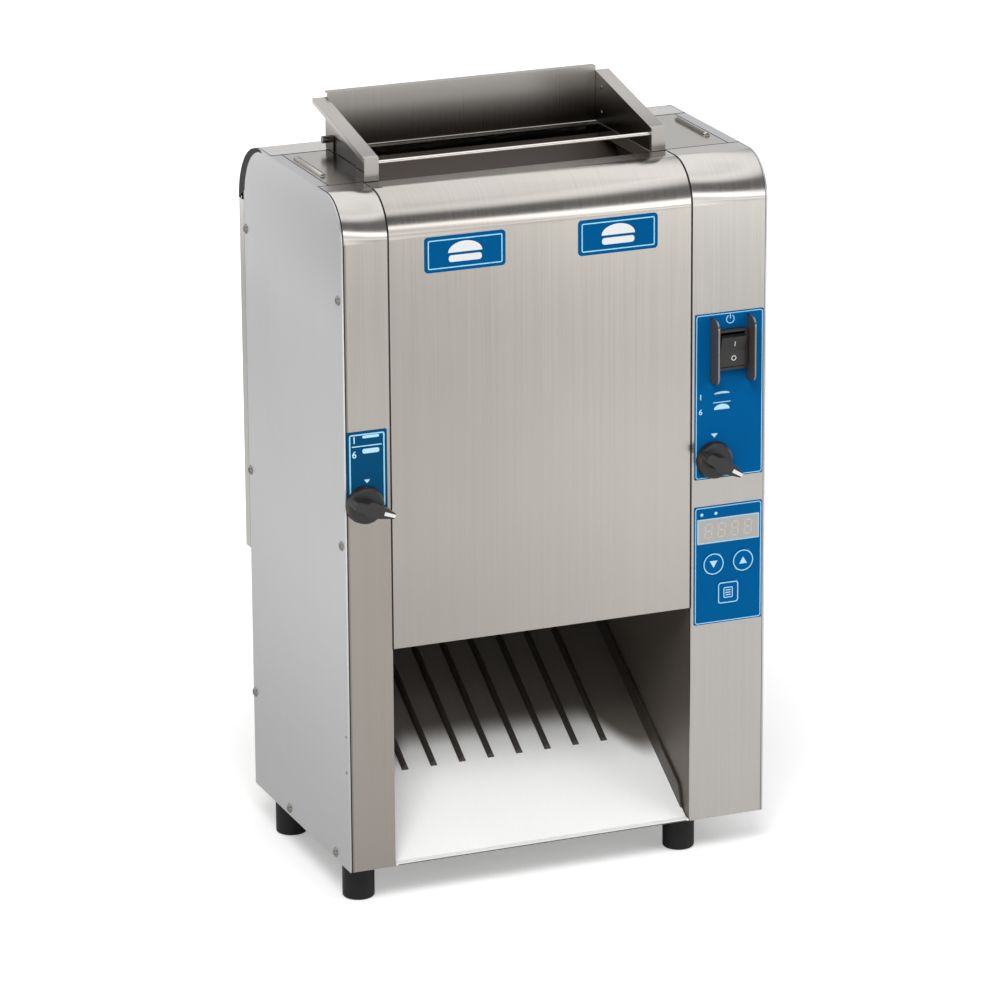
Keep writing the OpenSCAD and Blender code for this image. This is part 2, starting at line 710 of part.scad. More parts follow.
// Rocker switch: the body holds the rocker on two pins
bezel_t = 5;
switch_deep = 22;
rocker_w = 21.5;
rocker_half = 12.6;
rocker_pin_r = 2;
y_bezel = y_front - overlay_t - bezel_t;
y_pivot = y_bezel + 5;
module switch_body()
    color("black") difference() {
        union() {
            xz(y_bezel, bezel_t) translate([xh, z_base + switch_z]) rounded2(bezel_w, bezel_h, 2);
            switch_hole(y_bezel + bezel_t - 0.5, switch_deep, 0);
        }
        block([xh - rocker_w / 2 - seat_gap, y_bezel - 1, z_base + switch_z - rocker_half - 1.8],
              [xh + rocker_w / 2 + seat_gap, y_pivot + 6.5, z_base + switch_z + rocker_half + 1.8]);
        rod_x(xh - rocker_w / 2 - 1, xh + rocker_w / 2 + 1, y_pivot, z_base + switch_z, rocker_pin_r + run_clear);
    }
module rocker()
    color("dimgray") translate([0, y_pivot, z_base + switch_z]) rotate([rocker_tilt, 0, 0]) {
        yz(xh - rocker_w / 2, rocker_w)
            polygon([[-8, rocker_half], [-6.4, 0], [-8, -rocker_half], [-2, -rocker_half], [3.5, -5], [3.5, 5],
                     [-2, rocker_half]]);
        rod_x(xh - rocker_w / 2 - 0.9, xh + rocker_w / 2 + 0.9, 0, 0, rocker_pin_r);
    }

// Guard: a bracket behind the front whose two wings come out through slots
module switch_guard() {
    wing_r = 7;
    y0 = y_front + sheet_t;
    color("dimgray") {
        difference() {
            block([xh - guard_w / 2, y0, z_base + switch_z - guard_l / 2],
                  [xh + guard_w / 2, y0 + guard_t, z_base + switch_z + guard_l / 2]);
            switch_hole(y0 - 1, guard_t + 2, slot_gap);
        }
        for (x = [xh - guard_w / 2, xh + guard_w / 2 - guard_t]) yz(x, guard_t) {
            translate([y_front - guard_reach, z_base + switch_z - guard_l / 2 + wing_r])
                square([guard_reach + sheet_t + guard_t / 2, guard_l - 2 * wing_r]);
            translate([y_front - guard_reach + wing_r, z_base + switch_z - guard_l / 2])
                square([guard_reach - wing_r + sheet_t + guard_t / 2, guard_l]);
            for (s = [-1, 1])
                translate([y_front - guard_reach + wing_r, z_base + switch_z + s * (guard_l / 2 - wing_r)]) circle(wing_r);
        }
    }
}

// Knob: a skirt with a tapered pointer bar, drawn pointing along +X and turned to its setting
skirt_h = 6;
bar_r = 6.5;
tip_r = 2.6;
knob_gap = 0.6;
bore_deep = 12;
module knob_bar() {
    d = pointer_r - tip_r;
    a = acos((bar_r - tip_r) / d);
    circle(bar_r);
    translate([d, 0]) circle(tip_r);
    polygon([[bar_r * cos(a), bar_r * sin(a)], [d + tip_r * cos(a), tip_r * sin(a)],
             [d + tip_r * cos(a), -tip_r * sin(a)], [bar_r * cos(a), -bar_r * sin(a)]]);
    translate([-knob_r + 4.5, 0]) circle(4);
    box2([-knob_r + 4.5, -4], [0, 4]);
}
module knob(x, angle)
    color("black") translate([x, y_front - overlay_t - knob_gap, z_knob]) rotate([90, 0, 0]) rotate([0, 0, angle])
        difference() {
            union() {
                cylinder(h = skirt_h - 1, r1 = knob_r, r2 = knob_r - 1);
                translate([0, 0, skirt_h - 1.01]) cylinder(h = 1.01, r1 = knob_r - 1, r2 = knob_r - 2.5);
                linear_extrude(knob_reach - overlay_t - knob_gap) knob_bar();
            }
            translate([0, 0, -1]) cylinder(h = bore_deep + 1, r = knob_shaft_r);
        }
left_pointer = -20;
right_pointer = -31;
module left_knob() knob(x_kl, left_pointer);
module right_knob() knob(x_kr, right_pointer);

// Face cam with one land for each setting; pin_angle is where the conveyor's pin meets it at rest
cam_t = 9;
y_shaft = y_front - overlay_t - knob_gap - bore_deep;
function around(a0, a1, r) = [for (i = [0 : 12]) r * [cos(a0 + (a1 - a0) * i / 12), sin(a0 + (a1 - a0) * i / 12)]];
module cam(x, y_rest, push, pin_angle) {
    last = settings - 1 - rest_setting;
    start = pin_angle - (last + 0.5) * setting_step;
    mirror([0, push > 0 ? 0 : 1, 0]) difference() {
        rod_y(push * y_rest - cam_t, push * y_rest + last * cam_rise, x, z_knob, cam_r);
        for (k = [-rest_setting : last - 1])
            translate([x, push * y_rest + k * cam_rise, z_knob]) rotate([-90, 0, 0]) linear_extrude(cam_t)
                polygon(concat([[0, 0]], around(pin_angle - (k + 0.5) * setting_step, start + 360, 2 * cam_r)));
    }
}
module left_knob_shaft() {
    y_rest = y_rd + pin_r + seat_gap;
    color("silver") {
        rod_y(y_shaft, y_rest + cam_t + 2, x_kl, z_knob, knob_shaft_r);
        cam(x_kl, y_rest, -1, 0);
    }
}
module right_knob_shaft() {
    y_rest = y_fd - pin_r - seat_gap;
    color("silver") {
        rod_y(y_shaft, y_rest + 2, x_kr, z_knob, knob_shaft_r);
        cam(x_kr, y_rest, 1, 180);
    }
}

// Heated platen with its rods and the release sheet that hangs over it
function heater_z(i) = platen_z0 + (i + 0.5) * (platen_z1 - platen_z0) / heaters;
module platen_outline(g, z0)
    translate([y_platen, 0]) polygon([
        [-platen_t / 2 - g, z0], [-platen_t / 2 - g, platen_z1 - platen_taper], [-platen_tip - g, platen_z1 + g],
        [platen_tip + g, platen_z1 + g], [platen_t / 2 + g, platen_z1 - platen_taper], [platen_t / 2 + g, z0]]);
module platen()
    color("darkgray") difference() {
        yz(xi_l, xi_r - xi_l) platen_outline(0, platen_z0);
        for (i = [0 : heaters - 1]) rod_x(xi_l + 8, xi_r + 1, y_platen, heater_z(i), heater_d / 2);
    }
release_side = 0.5;
module heating_rods()
    color("dimgray") for (i = [0 : heaters - 1])
        rod_x(xi_l + 8, xi_r + 12, y_platen, heater_z(i), heater_d / 2);
module release_sheet()
    color("tan") yz(xc - belt_w / 2 - release_side, belt_w + 2 * release_side) difference() {
        platen_outline(release_t, platen_z0 + 12);
        platen_outline(0, platen_z0);
    }

// Sloping guides from the throat to the belts
guide_w = 23;
guide_drop = 18;
guide_top = throat_fold + 0.5;
module feed_guide(way) {
    y_a = y_platen + way * (hopper_d / 2 - 1);
    y_b = y_a - way * guide_w;
    color("silver") yz(xi_l, xi_r - xi_l)
        polygon([[y_a, z_top - guide_top], [y_b, z_top - guide_top - guide_drop],
                 [y_b, z_top - guide_top - guide_drop - sheet_t], [y_a, z_top - guide_top - sheet_t]]);
}
module front_feed_guide() feed_guide(-1);
module rear_feed_guide() feed_guide(1);

// Flanged bushes of the two drive shafts
module shaft_bushes()
    color("goldenrod") for (y = [y_fd, y_rd]) {
        difference() {
            union() {
                rod_x(xi_l - sheet_t - bush_flange_t, xi_l - sheet_t, y, z_drive, bush_flange_r);
                rod_x(xi_l - sheet_t, xi_l + bush_in, y, z_drive, bush_r);
            }
            rod_x(xi_l - sheet_t - bush_flange_t - 1, xi_l + bush_in + 1, y, z_drive, shaft_r + run_clear);
        }
        difference() {
            union() {
                rod_x(xi_r + sheet_t, xi_r + sheet_t + bush_flange_t, y, z_drive, bush_flange_r);
                rod_x(xi_r - bush_in, xi_r + sheet_t, y, z_drive, bush_r);
            }
            rod_x(xi_r - bush_in - 1, xi_r + sheet_t + bush_flange_t + 1, y, z_drive, shaft_r + run_clear);
        }
    }

// Conveyor frame: side plates with shaft bores, tie bars and the plate behind the working run of the belt
tie_r = 4;
ties = 3;
backing_t = 2;
module conveyor_frame(y, way) {
    color("gray") difference() {
        union() {
            for (x = [xc - plate_x - plate_t, xc + plate_x]) yz(x, plate_t) stadium(y, z_drive, z_idler, plate_half);
            for (i = [1 : ties])
                rod_x(xc - plate_x - 1, xc + plate_x + 1, y, z_drive + i * (z_idler - z_drive) / (ties + 1), tie_r);
            y_run = y - way * (loop_r - belt_t - belt_clear - backing_t / 2);
            block([xc - plate_x - 1, y_run - backing_t / 2, z_drive + roller_r + 8],
                  [xc + plate_x + 1, y_run + backing_t / 2, z_idler - roller_r - 8]);
            for (x = [xc - plate_x - plate_t, xc + plate_x])
                block([x, min(y, y_run - backing_t / 2), z_drive + roller_r + 8],
                      [x + plate_t, max(y, y_run + backing_t / 2), z_idler - roller_r - 8]);
            if (way > 0) rod_x(x_kl + pin_short, xc - plate_x - 1, y, z_knob, pin_r);
            if (way < 0) rod_x(xc + plate_x + 1, x_kr - pin_short, y, z_knob, pin_r);
        }
        for (z = [z_drive, z_idler])
            rod_x(xc - plate_x - plate_t - 1, xc + plate_x + plate_t + 1, y, z, shaft_r + run_clear);
    }
}
module belt(y)
    color("dimgray") yz(xc - belt_w / 2, belt_w) difference() {
        stadium(y, z_drive, z_idler, loop_r);
        stadium(y, z_drive, z_idler, loop_r - belt_t);
    }
module roller_row(y, z)
    for (i = [0 : rollers - 1]) {
        x = xc + (i - (rollers - 1) / 2) * (belt_w - roller_w - 10) / (rollers - 1);
        rod_x(x - roller_w / 2, x + roller_w / 2, y, z, roller_r);
    }
module drive_roller(y)
    color("silver") {
        rod_x(xi_l - sheet_t - bush_flange_t - 2, gear_x + gear_w + 2, y, z_drive, shaft_r);
        roller_row(y, z_drive);
    }
module idler_roller(y)
    color("silver") {
        rod_x(xc - plate_x - plate_t - 3, xc + plate_x + plate_t + 3, y, z_idler, shaft_r);
        roller_row(y, z_idler);
    }
module front_conveyor_frame() conveyor_frame(y_fd, -1);
module rear_conveyor_frame() conveyor_frame(y_rd, 1);
module front_belt() belt(y_fd);
module rear_belt() belt(y_rd);
module front_drive_roller() drive_roller(y_fd);
module rear_drive_roller() drive_roller(y_rd);
module front_idler_roller() idler_roller(y_fd);
module rear_idler_roller() idler_roller(y_rd);

// Involute gear: each flank rolls off the base circle, with the free play taken off both flanks
pressure = 20;
flank_steps = 3;
function roll(rb, t) = rb * [cos(t) + t * PI / 180 * sin(t), sin(t) - t * PI / 180 * cos(t)];
function turned(p, a) = [p[0] * cos(a) - p[1] * sin(a), p[0] * sin(a) + p[1] * cos(a)];
function flank(rb, t_max, half) = [for (s = [0 : flank_steps]) turned(roll(rb, t_max * s / flank_steps), -half)];
function flipped(points) = [for (i = [len(points) - 1 : -1 : 0]) [points[i][0], -points[i][1]]];
module gear_outline(phase) {
    rb = pitch_r * cos(pressure);
    tip = pitch_r + gear_m;
    root = pitch_r - 1.25 * gear_m;
    play = backlash / 2 / pitch_r * 180 / PI;
    half = 90 / gear_teeth + tan(pressure) * 180 / PI - pressure - play;
    t_max = sqrt(pow(tip / rb, 2) - 1) * 180 / PI;
    side = flank(rb, t_max, half);
    tooth = concat([turned([root, 0], -half)], side, flipped(side), [turned([root, 0], half)]);
    polygon([for (k = [0 : gear_teeth - 1], p = tooth) turned(p, phase + k * 360 / gear_teeth)]);
}
module gear(y, z, phase, bore)
    difference() {
        yz(gear_x, gear_w) translate([y, z]) gear_outline(phase);
        rod_x(gear_x - 1, gear_x + gear_w + 1, y, z, bore);
    }

// Gears stand in a row, so with an even count every second one is turned by half a tooth
tooth_angle = 360 / gear_teeth;
odd_phase = gear_teeth % 2 == 0 ? tooth_angle / 2 : 0;
lead = round(270 / tooth_angle) * tooth_angle - 270;
module front_drive_gear() color("peru") gear(y_fd, z_drive, 0, shaft_r);
module front_idler_gear() color("peru") gear(y_platen - pitch_r, z_drive, odd_phase, stud_r + run_clear);
module rear_idler_gear() color("peru") gear(y_platen + pitch_r, z_drive, 0, stud_r + run_clear);
module rear_drive_gear() color("peru") gear(y_rd, z_drive, odd_phase, shaft_r);
module motor_pinion()
    color("peru") {
        yz(gear_x, gear_w) translate([pinion_y, pinion_z]) gear_outline(90 - lead + tooth_angle / 2);
        rod_x(gear_x, gearbox_x + gearbox_w - 4, pinion_y, pinion_z, pinion_shaft_r);
    }

// Gearmotor on three posts
module gearmotor() {
    y_mid = (gearbox_y[0] + gearbox_y[1]) / 2 + 4;
    z_mid = (gearbox_z[0] + gearbox_z[1]) / 2 - 8;
    color("dimgray") difference() {
        union() {
            block([gearbox_x, gearbox_y[0], gearbox_z[0]], [gearbox_x + gearbox_w, gearbox_y[1], gearbox_z[1]]);
            block([gearbox_x + gearbox_w - 1, y_mid - stack_half[0], z_mid - stack_half[1]],
                  [gearbox_x + gearbox_w + stack_w, y_mid + stack_half[0], z_mid + stack_half[1]]);
        }
        rod_x(gearbox_x - 1, gearbox_x + gearbox_w - 3, pinion_y, pinion_z, pinion_shaft_r + run_clear);
    }
}

// Terminal block on the right wall
terminal_size = [16, 22, 66];
terminal_pitch = 10.3;
terminal_slot = [7, 8, 8];
terminal_edge = 3;
terminal_y = 25;
terminal_z = 370;
module terminal_block() {
    p = [xi_r + sheet_t, y_platen + terminal_y, z_base + terminal_z];
    color("ivory") difference() {
        block(p, p + terminal_size);
        for (i = [0 : 5])
            block(p + [terminal_size[0] - terminal_slot[0], -1, terminal_edge + i * terminal_pitch],
                  p + [terminal_size[0] + 1, terminal_slot[1], terminal_edge + i * terminal_pitch + terminal_slot[2]]);
    }
}

// Cooling fan behind the grille
fan_bore = fan_w / 2 - 2;
fan_hub = fan_w / 5;
blades = 7;
fan_y = y_back - sheet_t - fan_t;
module fan_frame()
    color("black") {
        difference() {
            xz(fan_y, fan_t) translate([xh, z_base + fan_z]) rounded2(fan_w, fan_w, 4);
            rod_y(fan_y - 1, fan_y + fan_t + 1, xh, z_base + fan_z, fan_bore);
        }
        for (a = [45 : 90 : 315]) translate([xh, fan_y + fan_t - 2, z_base + fan_z]) rotate([0, a, 0])
            translate([-1.5, 0, fan_hub - 2]) cube([3, 2, fan_bore - fan_hub + 3]);
        rod_y(fan_y + fan_t - 2, fan_y + fan_t, xh, z_base + fan_z, fan_hub);
        rod_y(fan_y + 6, fan_y + fan_t - 1, xh, z_base + fan_z, 2);
    }
module fan_rotor()
    color("dimgray") difference() {
        union() {
            rod_y(fan_y + 2, fan_y + fan_t - 3, xh, z_base + fan_z, fan_hub);
            for (i = [0 : blades - 1]) translate([xh, fan_y + fan_t / 2, z_base + fan_z]) rotate([0, i * 360 / blades, 0])
                rotate([0, 0, 35]) translate([-5, -0.6, fan_hub - 1]) cube([10, 1.2, fan_bore - fan_hub - 0.4]);
        }
        rod_y(fan_y + 5, fan_y + fan_t, xh, z_base + fan_z, 2 + run_clear);
    }

// Appliance inlet: a flange outside the back panel and a body with three pins inside
inlet_t = 2;
inlet_deep = 24;
module power_inlet() {
    zc = z_base + inlet_z;
    w = inlet_w - 2 * inlet_flange;
    h = inlet_h - 2 * inlet_flange;
    color("black") {
        difference() {
            union() {
                xz(y_back, inlet_t) translate([xh, zc]) rounded2(inlet_w, inlet_h, 3);
                xz(y_back - inlet_deep, inlet_deep + 0.5) translate([xh, zc]) square([w, h], center = true);
            }
            xz(y_back - inlet_deep + 4, inlet_deep) translate([xh, zc]) rounded2(w - 6, h - 4, 2);
        }
        for (p = [[-7, -1.5], [0, 1.5], [7, -1.5]]) translate([xh + p[0] - 1, y_back - inlet_deep + 3, zc + p[1] - 2])
            cube([2, inlet_deep - 8, 4]);
    }
}

base_pan();
left_inner_wall();
right_inner_wall();
left_side_panel();
right_side_panel();
left_column();
control_front();
rear_cover();
lower_back_panel();
top_plate_left();
top_plate_right();
panel_screws();
feet();
front_cover();
cover_labels();
chute();
hopper_left_side();
hopper_right_side();
hopper_back();
hopper_rod();
left_overlay();
upper_overlay();
lower_overlay();
display_window();
display_module();
control_board();
key_down();
key_up();
key_program();
switch_body();
rocker();
switch_guard();
left_knob();
left_knob_shaft();
right_knob();
right_knob_shaft();
platen();
heating_rods();
release_sheet();
front_feed_guide();
rear_feed_guide();
shaft_bushes();
front_conveyor_frame();
front_belt();
front_drive_roller();
front_drive_gear();
front_idler_roller();
rear_conveyor_frame();
rear_belt();
rear_drive_roller();
rear_drive_gear();
rear_idler_roller();
front_idler_gear();
rear_idler_gear();
motor_pinion();
gearmotor();
terminal_block();
fan_frame();
fan_rotor();
power_inlet();
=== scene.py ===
# %% [markdown]
# # A vertical contact toaster, dressed for its picture
# The solids of this toaster come ready made: a steel cabinet, a lift-out hopper, a pull-out chute, knobs, keys,
# and two belt conveyors round a heated plate. A modeller could copy them by hand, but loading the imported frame
# keeps each piece on the body that moves it. Here we add what a drawing leaves out: finishes, print and light.

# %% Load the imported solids
import json
import math

import bmesh
import bpy
from mathutils import Matrix, Vector

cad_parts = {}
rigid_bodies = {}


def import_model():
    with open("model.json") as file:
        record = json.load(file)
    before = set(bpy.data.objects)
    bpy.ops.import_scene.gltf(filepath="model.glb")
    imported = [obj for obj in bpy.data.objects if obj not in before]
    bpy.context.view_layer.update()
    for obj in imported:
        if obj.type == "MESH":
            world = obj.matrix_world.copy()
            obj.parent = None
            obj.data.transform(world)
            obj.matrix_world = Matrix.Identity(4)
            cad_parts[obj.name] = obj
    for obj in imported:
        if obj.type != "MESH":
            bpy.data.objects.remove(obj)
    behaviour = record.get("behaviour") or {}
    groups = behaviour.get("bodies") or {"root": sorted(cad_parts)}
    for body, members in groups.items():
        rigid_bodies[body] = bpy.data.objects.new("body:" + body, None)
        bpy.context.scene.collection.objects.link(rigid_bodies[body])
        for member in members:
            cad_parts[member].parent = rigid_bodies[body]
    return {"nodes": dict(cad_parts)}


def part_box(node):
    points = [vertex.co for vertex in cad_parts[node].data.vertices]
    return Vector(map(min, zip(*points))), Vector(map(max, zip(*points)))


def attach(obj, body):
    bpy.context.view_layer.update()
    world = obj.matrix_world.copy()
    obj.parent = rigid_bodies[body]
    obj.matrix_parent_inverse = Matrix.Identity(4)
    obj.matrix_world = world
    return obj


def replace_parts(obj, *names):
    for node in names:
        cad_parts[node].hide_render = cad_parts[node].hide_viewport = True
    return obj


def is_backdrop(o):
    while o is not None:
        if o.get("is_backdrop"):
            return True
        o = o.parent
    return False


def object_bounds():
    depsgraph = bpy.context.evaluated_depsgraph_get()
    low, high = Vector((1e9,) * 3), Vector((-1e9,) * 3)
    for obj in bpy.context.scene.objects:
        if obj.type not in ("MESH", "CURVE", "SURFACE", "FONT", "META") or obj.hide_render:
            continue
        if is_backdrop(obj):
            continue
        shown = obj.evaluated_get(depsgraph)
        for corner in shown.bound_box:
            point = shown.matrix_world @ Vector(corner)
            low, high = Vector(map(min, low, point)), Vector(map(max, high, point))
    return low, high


for spare in list(bpy.data.objects):
    bpy.data.objects.remove(spare)
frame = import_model()
cad_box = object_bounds()
nodes = frame["nodes"]
mm = 0.001
sides = (("left", -1), ("right", 1))
print("box:", [round(v, 4) for v in cad_box[1] - cad_box[0]])

# %% [markdown]
# ## Helpers for angles, objects and nodes
# Objects and shader nodes are made many times below. An object exists only once a collection holds it, and a node
# does nothing until its sockets are filled. Writing both steps each time is long and hides what matters, so one
# helper makes an object, and another makes a node whose sockets take a plain value or a wire from another node. Round
# shapes ask for many cosines and sines, so a third helper gives both for an angle in degrees.

# %% Helpers for angles, objects and nodes
def around(degrees):
    return math.cos(math.radians(degrees)), math.sin(math.radians(degrees))


def new_object(name, data):
    made = bpy.data.objects.new(name, data)
    bpy.context.scene.collection.objects.link(made)
    return made


def add(wires, kind, inputs=(), **traits):
    """A shader node: traits are its own settings, inputs give a socket a value or another node's socket."""
    node = wires.nodes.new("ShaderNode" + kind)
    for trait, value in traits.items():
        setattr(node, trait, value)
    for socket, value in dict(inputs).items():
        if isinstance(value, bpy.types.NodeSocket):
            wires.links.new(value, node.inputs[socket])
        else:
            node.inputs[socket].default_value = value
    return node


def ramp_over(wires, source, start, stop, low=0.0, high=1.0, ease="SMOOTHSTEP"):
    """A number that goes from low to high while source goes from start to stop."""
    ends = {"Value": source, "From Min": start, "From Max": stop, "To Min": low, "To Max": high}
    return add(wires, "MapRange", ends, interpolation_type=ease).outputs["Result"]


def sums(wires, kind, *terms):
    """One math node over sockets and plain numbers."""
    return add(wires, "Math", dict(enumerate(terms)), operation=kind).outputs[0]


def mix_colour(wires, share, first, second, blend="MIX"):
    ends = {"Factor": share, "A": first, "B": second}
    return add(wires, "Mix", ends, data_type="RGBA", blend_type=blend).outputs["Result"]


# %% [markdown]
# ## Camera
# Product pictures of upright machines are taken from far away with a long lens, so that upright edges stay nearly
# parallel. We could turn the camera by eye, but a camera is only a place and three directions: forward, right and
# up. Writing those from a heading, a downward tilt and a small roll makes every change easy to read.

# %% Camera
camera_place = (-1.620, -3.97365, 1.6602)
heading, tilt, roll = 22.102, 17.742, -0.356
(ahead, aside), (flat, down), (straight, lean) = around(heading), around(tilt), around(roll)
forward = Vector((aside * flat, ahead * flat, -down))
level = Vector((ahead, -aside, 0))
upward = level.cross(forward)
right = straight * level + lean * upward
upward = straight * upward - lean * level
lens = bpy.data.cameras.new("studio_camera")
lens.sensor_width, lens.lens, lens.clip_end = 36.0, 200.4, 60.0
camera = new_object("studio_camera", lens)
aim = Matrix((right, upward, -forward)).transposed().to_4x4()
camera.matrix_world = Matrix.Translation(camera_place) @ aim
bpy.context.scene.camera = camera
bpy.context.scene.view_settings.view_transform = "Standard"
print("camera at", camera_place, "lens", lens.lens)

# %% [markdown]
# ## Studio walls
# Bare steel has almost no colour of its own: it shows the room. A photographer surrounds it with a white sweep, a
# dark gap above and a wide soft light overhead, and the bent front turns that into bands. A picture of a studio
# would do this too, but a ramp over the height of the view direction is smaller and can be tuned stop by stop. The
# wall behind the toaster is plain and pale, for the flat top. Matt surfaces only need a plain level of light, so the
# two kinds of ray are kept apart.

# %% Studio walls
room = bpy.data.worlds.new("studio_room")
bpy.context.scene.world = room
room.use_nodes = True
wires = room.node_tree
wires.nodes.clear()
view_line = add(wires, "TexCoord").outputs["Generated"]
height = add(wires, "SeparateXYZ", {0: view_line}).outputs
brightest, matt_level = 3.0, 0.42
wall_tint, white = (0.99, 1, 1.02), (1, 1, 1, 1)
front_stops = [(0.0, 1.60), (0.015, 1.60), (0.035, 2.90), (0.125, 2.90), (0.19, 0.20), (0.53, 0.22), (0.64, 1.30),
               (0.74, 1.55), (0.84, 1.25), (0.92, 1.40), (1.0, 1.50)]
rear_stops = [(0.0, 0.80), (0.34, 0.80), (0.60, 1.40), (1.0, 1.50)]
rear_start, rear_full = 0.02, 0.30


def wall(wall_stops):
    """A ramp of greys over the height of the view direction; brightest stands for the ramp's white."""
    ramp = add(wires, "ValToRGB", {"Fac": height["Z"]})
    stops = ramp.color_ramp.elements
    stops[0].position, stops[1].position = wall_stops[0][0], wall_stops[-1][0]
    for place, _ in wall_stops[1:-1]:
        stops.new(place)
    for stop, (_, grey) in zip(stops, wall_stops):
        stop.color = [grey / brightest * part for part in wall_tint] + [1]
    print("wall with", len(stops), "stops")
    return ramp.outputs["Color"]


ray = add(wires, "LightPath").outputs
behind = ramp_over(wires, height["Y"], rear_start, rear_full, ease="LINEAR")
both_walls = mix_colour(wires, behind, wall(front_stops), wall(rear_stops))
bright = add(wires, "VectorMath", {0: both_walls, "Scale": brightest}, operation="SCALE").outputs["Vector"]
mirrored = sums(wires, "MAXIMUM", ray["Is Glossy Ray"], ray["Is Transmission Ray"])
shiny = mix_colour(wires, mirrored, [matt_level] * 3 + [1], bright)
backdrop = mix_colour(wires, ray["Is Camera Ray"], shiny, white)
glow = add(wires, "Background", {"Color": backdrop, "Strength": 1.0})
add(wires, "OutputWorld", {"Surface": glow.outputs[0]})

# %% [markdown]
# ## Floor
# The toaster stands on a white table. One large quad is enough, because it is only a stage and is never exported.
# It is pale paint that takes the soft shadow, with a little glow for the rays that the camera or the steel can
# see, so that the table runs into the white wall with no line. Further out lies a lit ring that only the steel
# sees, so for glossy rays the glow grows with distance. Far off it fades again and nearer the paint turns greyer,
# because a low camera would otherwise find the flat sheets washed out.

# %% Floor
reach, drop = 14.0, 0.0002
# Each ramp has two distances from the toaster, then its value at both.
paint_ramp, seam_ramp = (1.25, 1.95, 0.88, 0.62), (0.3, 1.2, 0.34, 0.9)
ring_rise, ring_fall = (1.9, 2.8, 0.06, 1.60), (2.9, 4.2, 1.0, 0.40)
sheet = bpy.data.meshes.new("table_top")
corners = [(x * reach, y * reach, -drop) for x, y in ((-1, -1), (1, -1), (1, 1), (-1, 1))]
sheet.from_pydata(corners, [], [(0, 1, 2, 3)])
table = new_object("table_top", sheet)
table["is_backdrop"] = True
table_paint = bpy.data.materials.new("table_paint")
table_paint.use_nodes = True
wires = table_paint.node_tree
wires.nodes.clear()
ray = add(wires, "LightPath").outputs
spot = add(wires, "TexCoord").outputs["Object"]
away = add(wires, "VectorMath", {0: spot}, operation="LENGTH").outputs["Value"]
grey = ramp_over(wires, away, *paint_ramp, "LINEAR")
ring_glow = sums(wires, "MULTIPLY", ramp_over(wires, away, *ring_rise), ramp_over(wires, away, *ring_fall, "LINEAR"))
mirrored = sums(wires, "MULTIPLY", ray["Is Glossy Ray"], ring_glow)
seam_glow = ramp_over(wires, away, *seam_ramp, "LINEAR")
lit = sums(wires, "MULTIPLY_ADD", ray["Is Camera Ray"], seam_glow, mirrored)
matt = add(wires, "BsdfDiffuse", {"Color": grey})
shine = add(wires, "Emission", {"Strength": lit})
both = add(wires, "AddShader", {0: matt.outputs[0], 1: shine.outputs[0]})
add(wires, "OutputMaterial", {"Surface": both.outputs[0]})
sheet.materials.append(table_paint)
print("table half width", reach)

# %% [markdown]
# ## Lamps
# Two big soft boxes are enough for the matt pieces: a key at the front left and a weaker fill at the right. Small
# lamps would leave hot spots, and brighter ones would bleach the blue film. Steel already has the studio ramp to
# show, so the boxes are kept out of its reflections.

# %% Lamps
middle = (cad_box[0] + cad_box[1]) / 2
box_side = 1.6


def soft_box(name, place, power):
    light = bpy.data.lights.new(name, "AREA")
    light.shape, light.size, light.size_y, light.energy = "RECTANGLE", box_side, box_side, power
    lamp = new_object(name, light)
    aim = (middle - Vector(place)).to_track_quat("-Z", "Y")
    lamp.matrix_world = Matrix.Translation(place) @ aim.to_matrix().to_4x4()
    lamp.visible_glossy = False
    print(name, "power", power)


soft_box("key_box", (-1.2, -2.2, 3.2), 90)
soft_box("fill_box", (2.2, -1.6, 1.6), 20)

# %% [markdown]
# ## Finishes
# A finish is a colour that is never quite even, a shine that changes along the grain, and a fine relief. All three
# can come from one stretched noise: long in the brushing direction, short across it. A second, wide noise adds the
# clouds that handling leaves. One helper makes every finish, so brushed steel, film, rubber and brass differ only
# in numbers: colour, roughness, metal, grain, change of tone, change of roughness, relief and its depth.

# %% A helper for finishes
def paint(code):
    """A hex colour as the linear numbers that a shader wants."""
    parts = [int(code[i:i + 2], 16) / 255 for i in (1, 3, 5)]
    return [p / 12.92 if p <= 0.04045 else ((p + 0.055) / 1.055) ** 2.4 for p in parts]


noise_ends, smoothest = (0.3, 0.7), 0.02


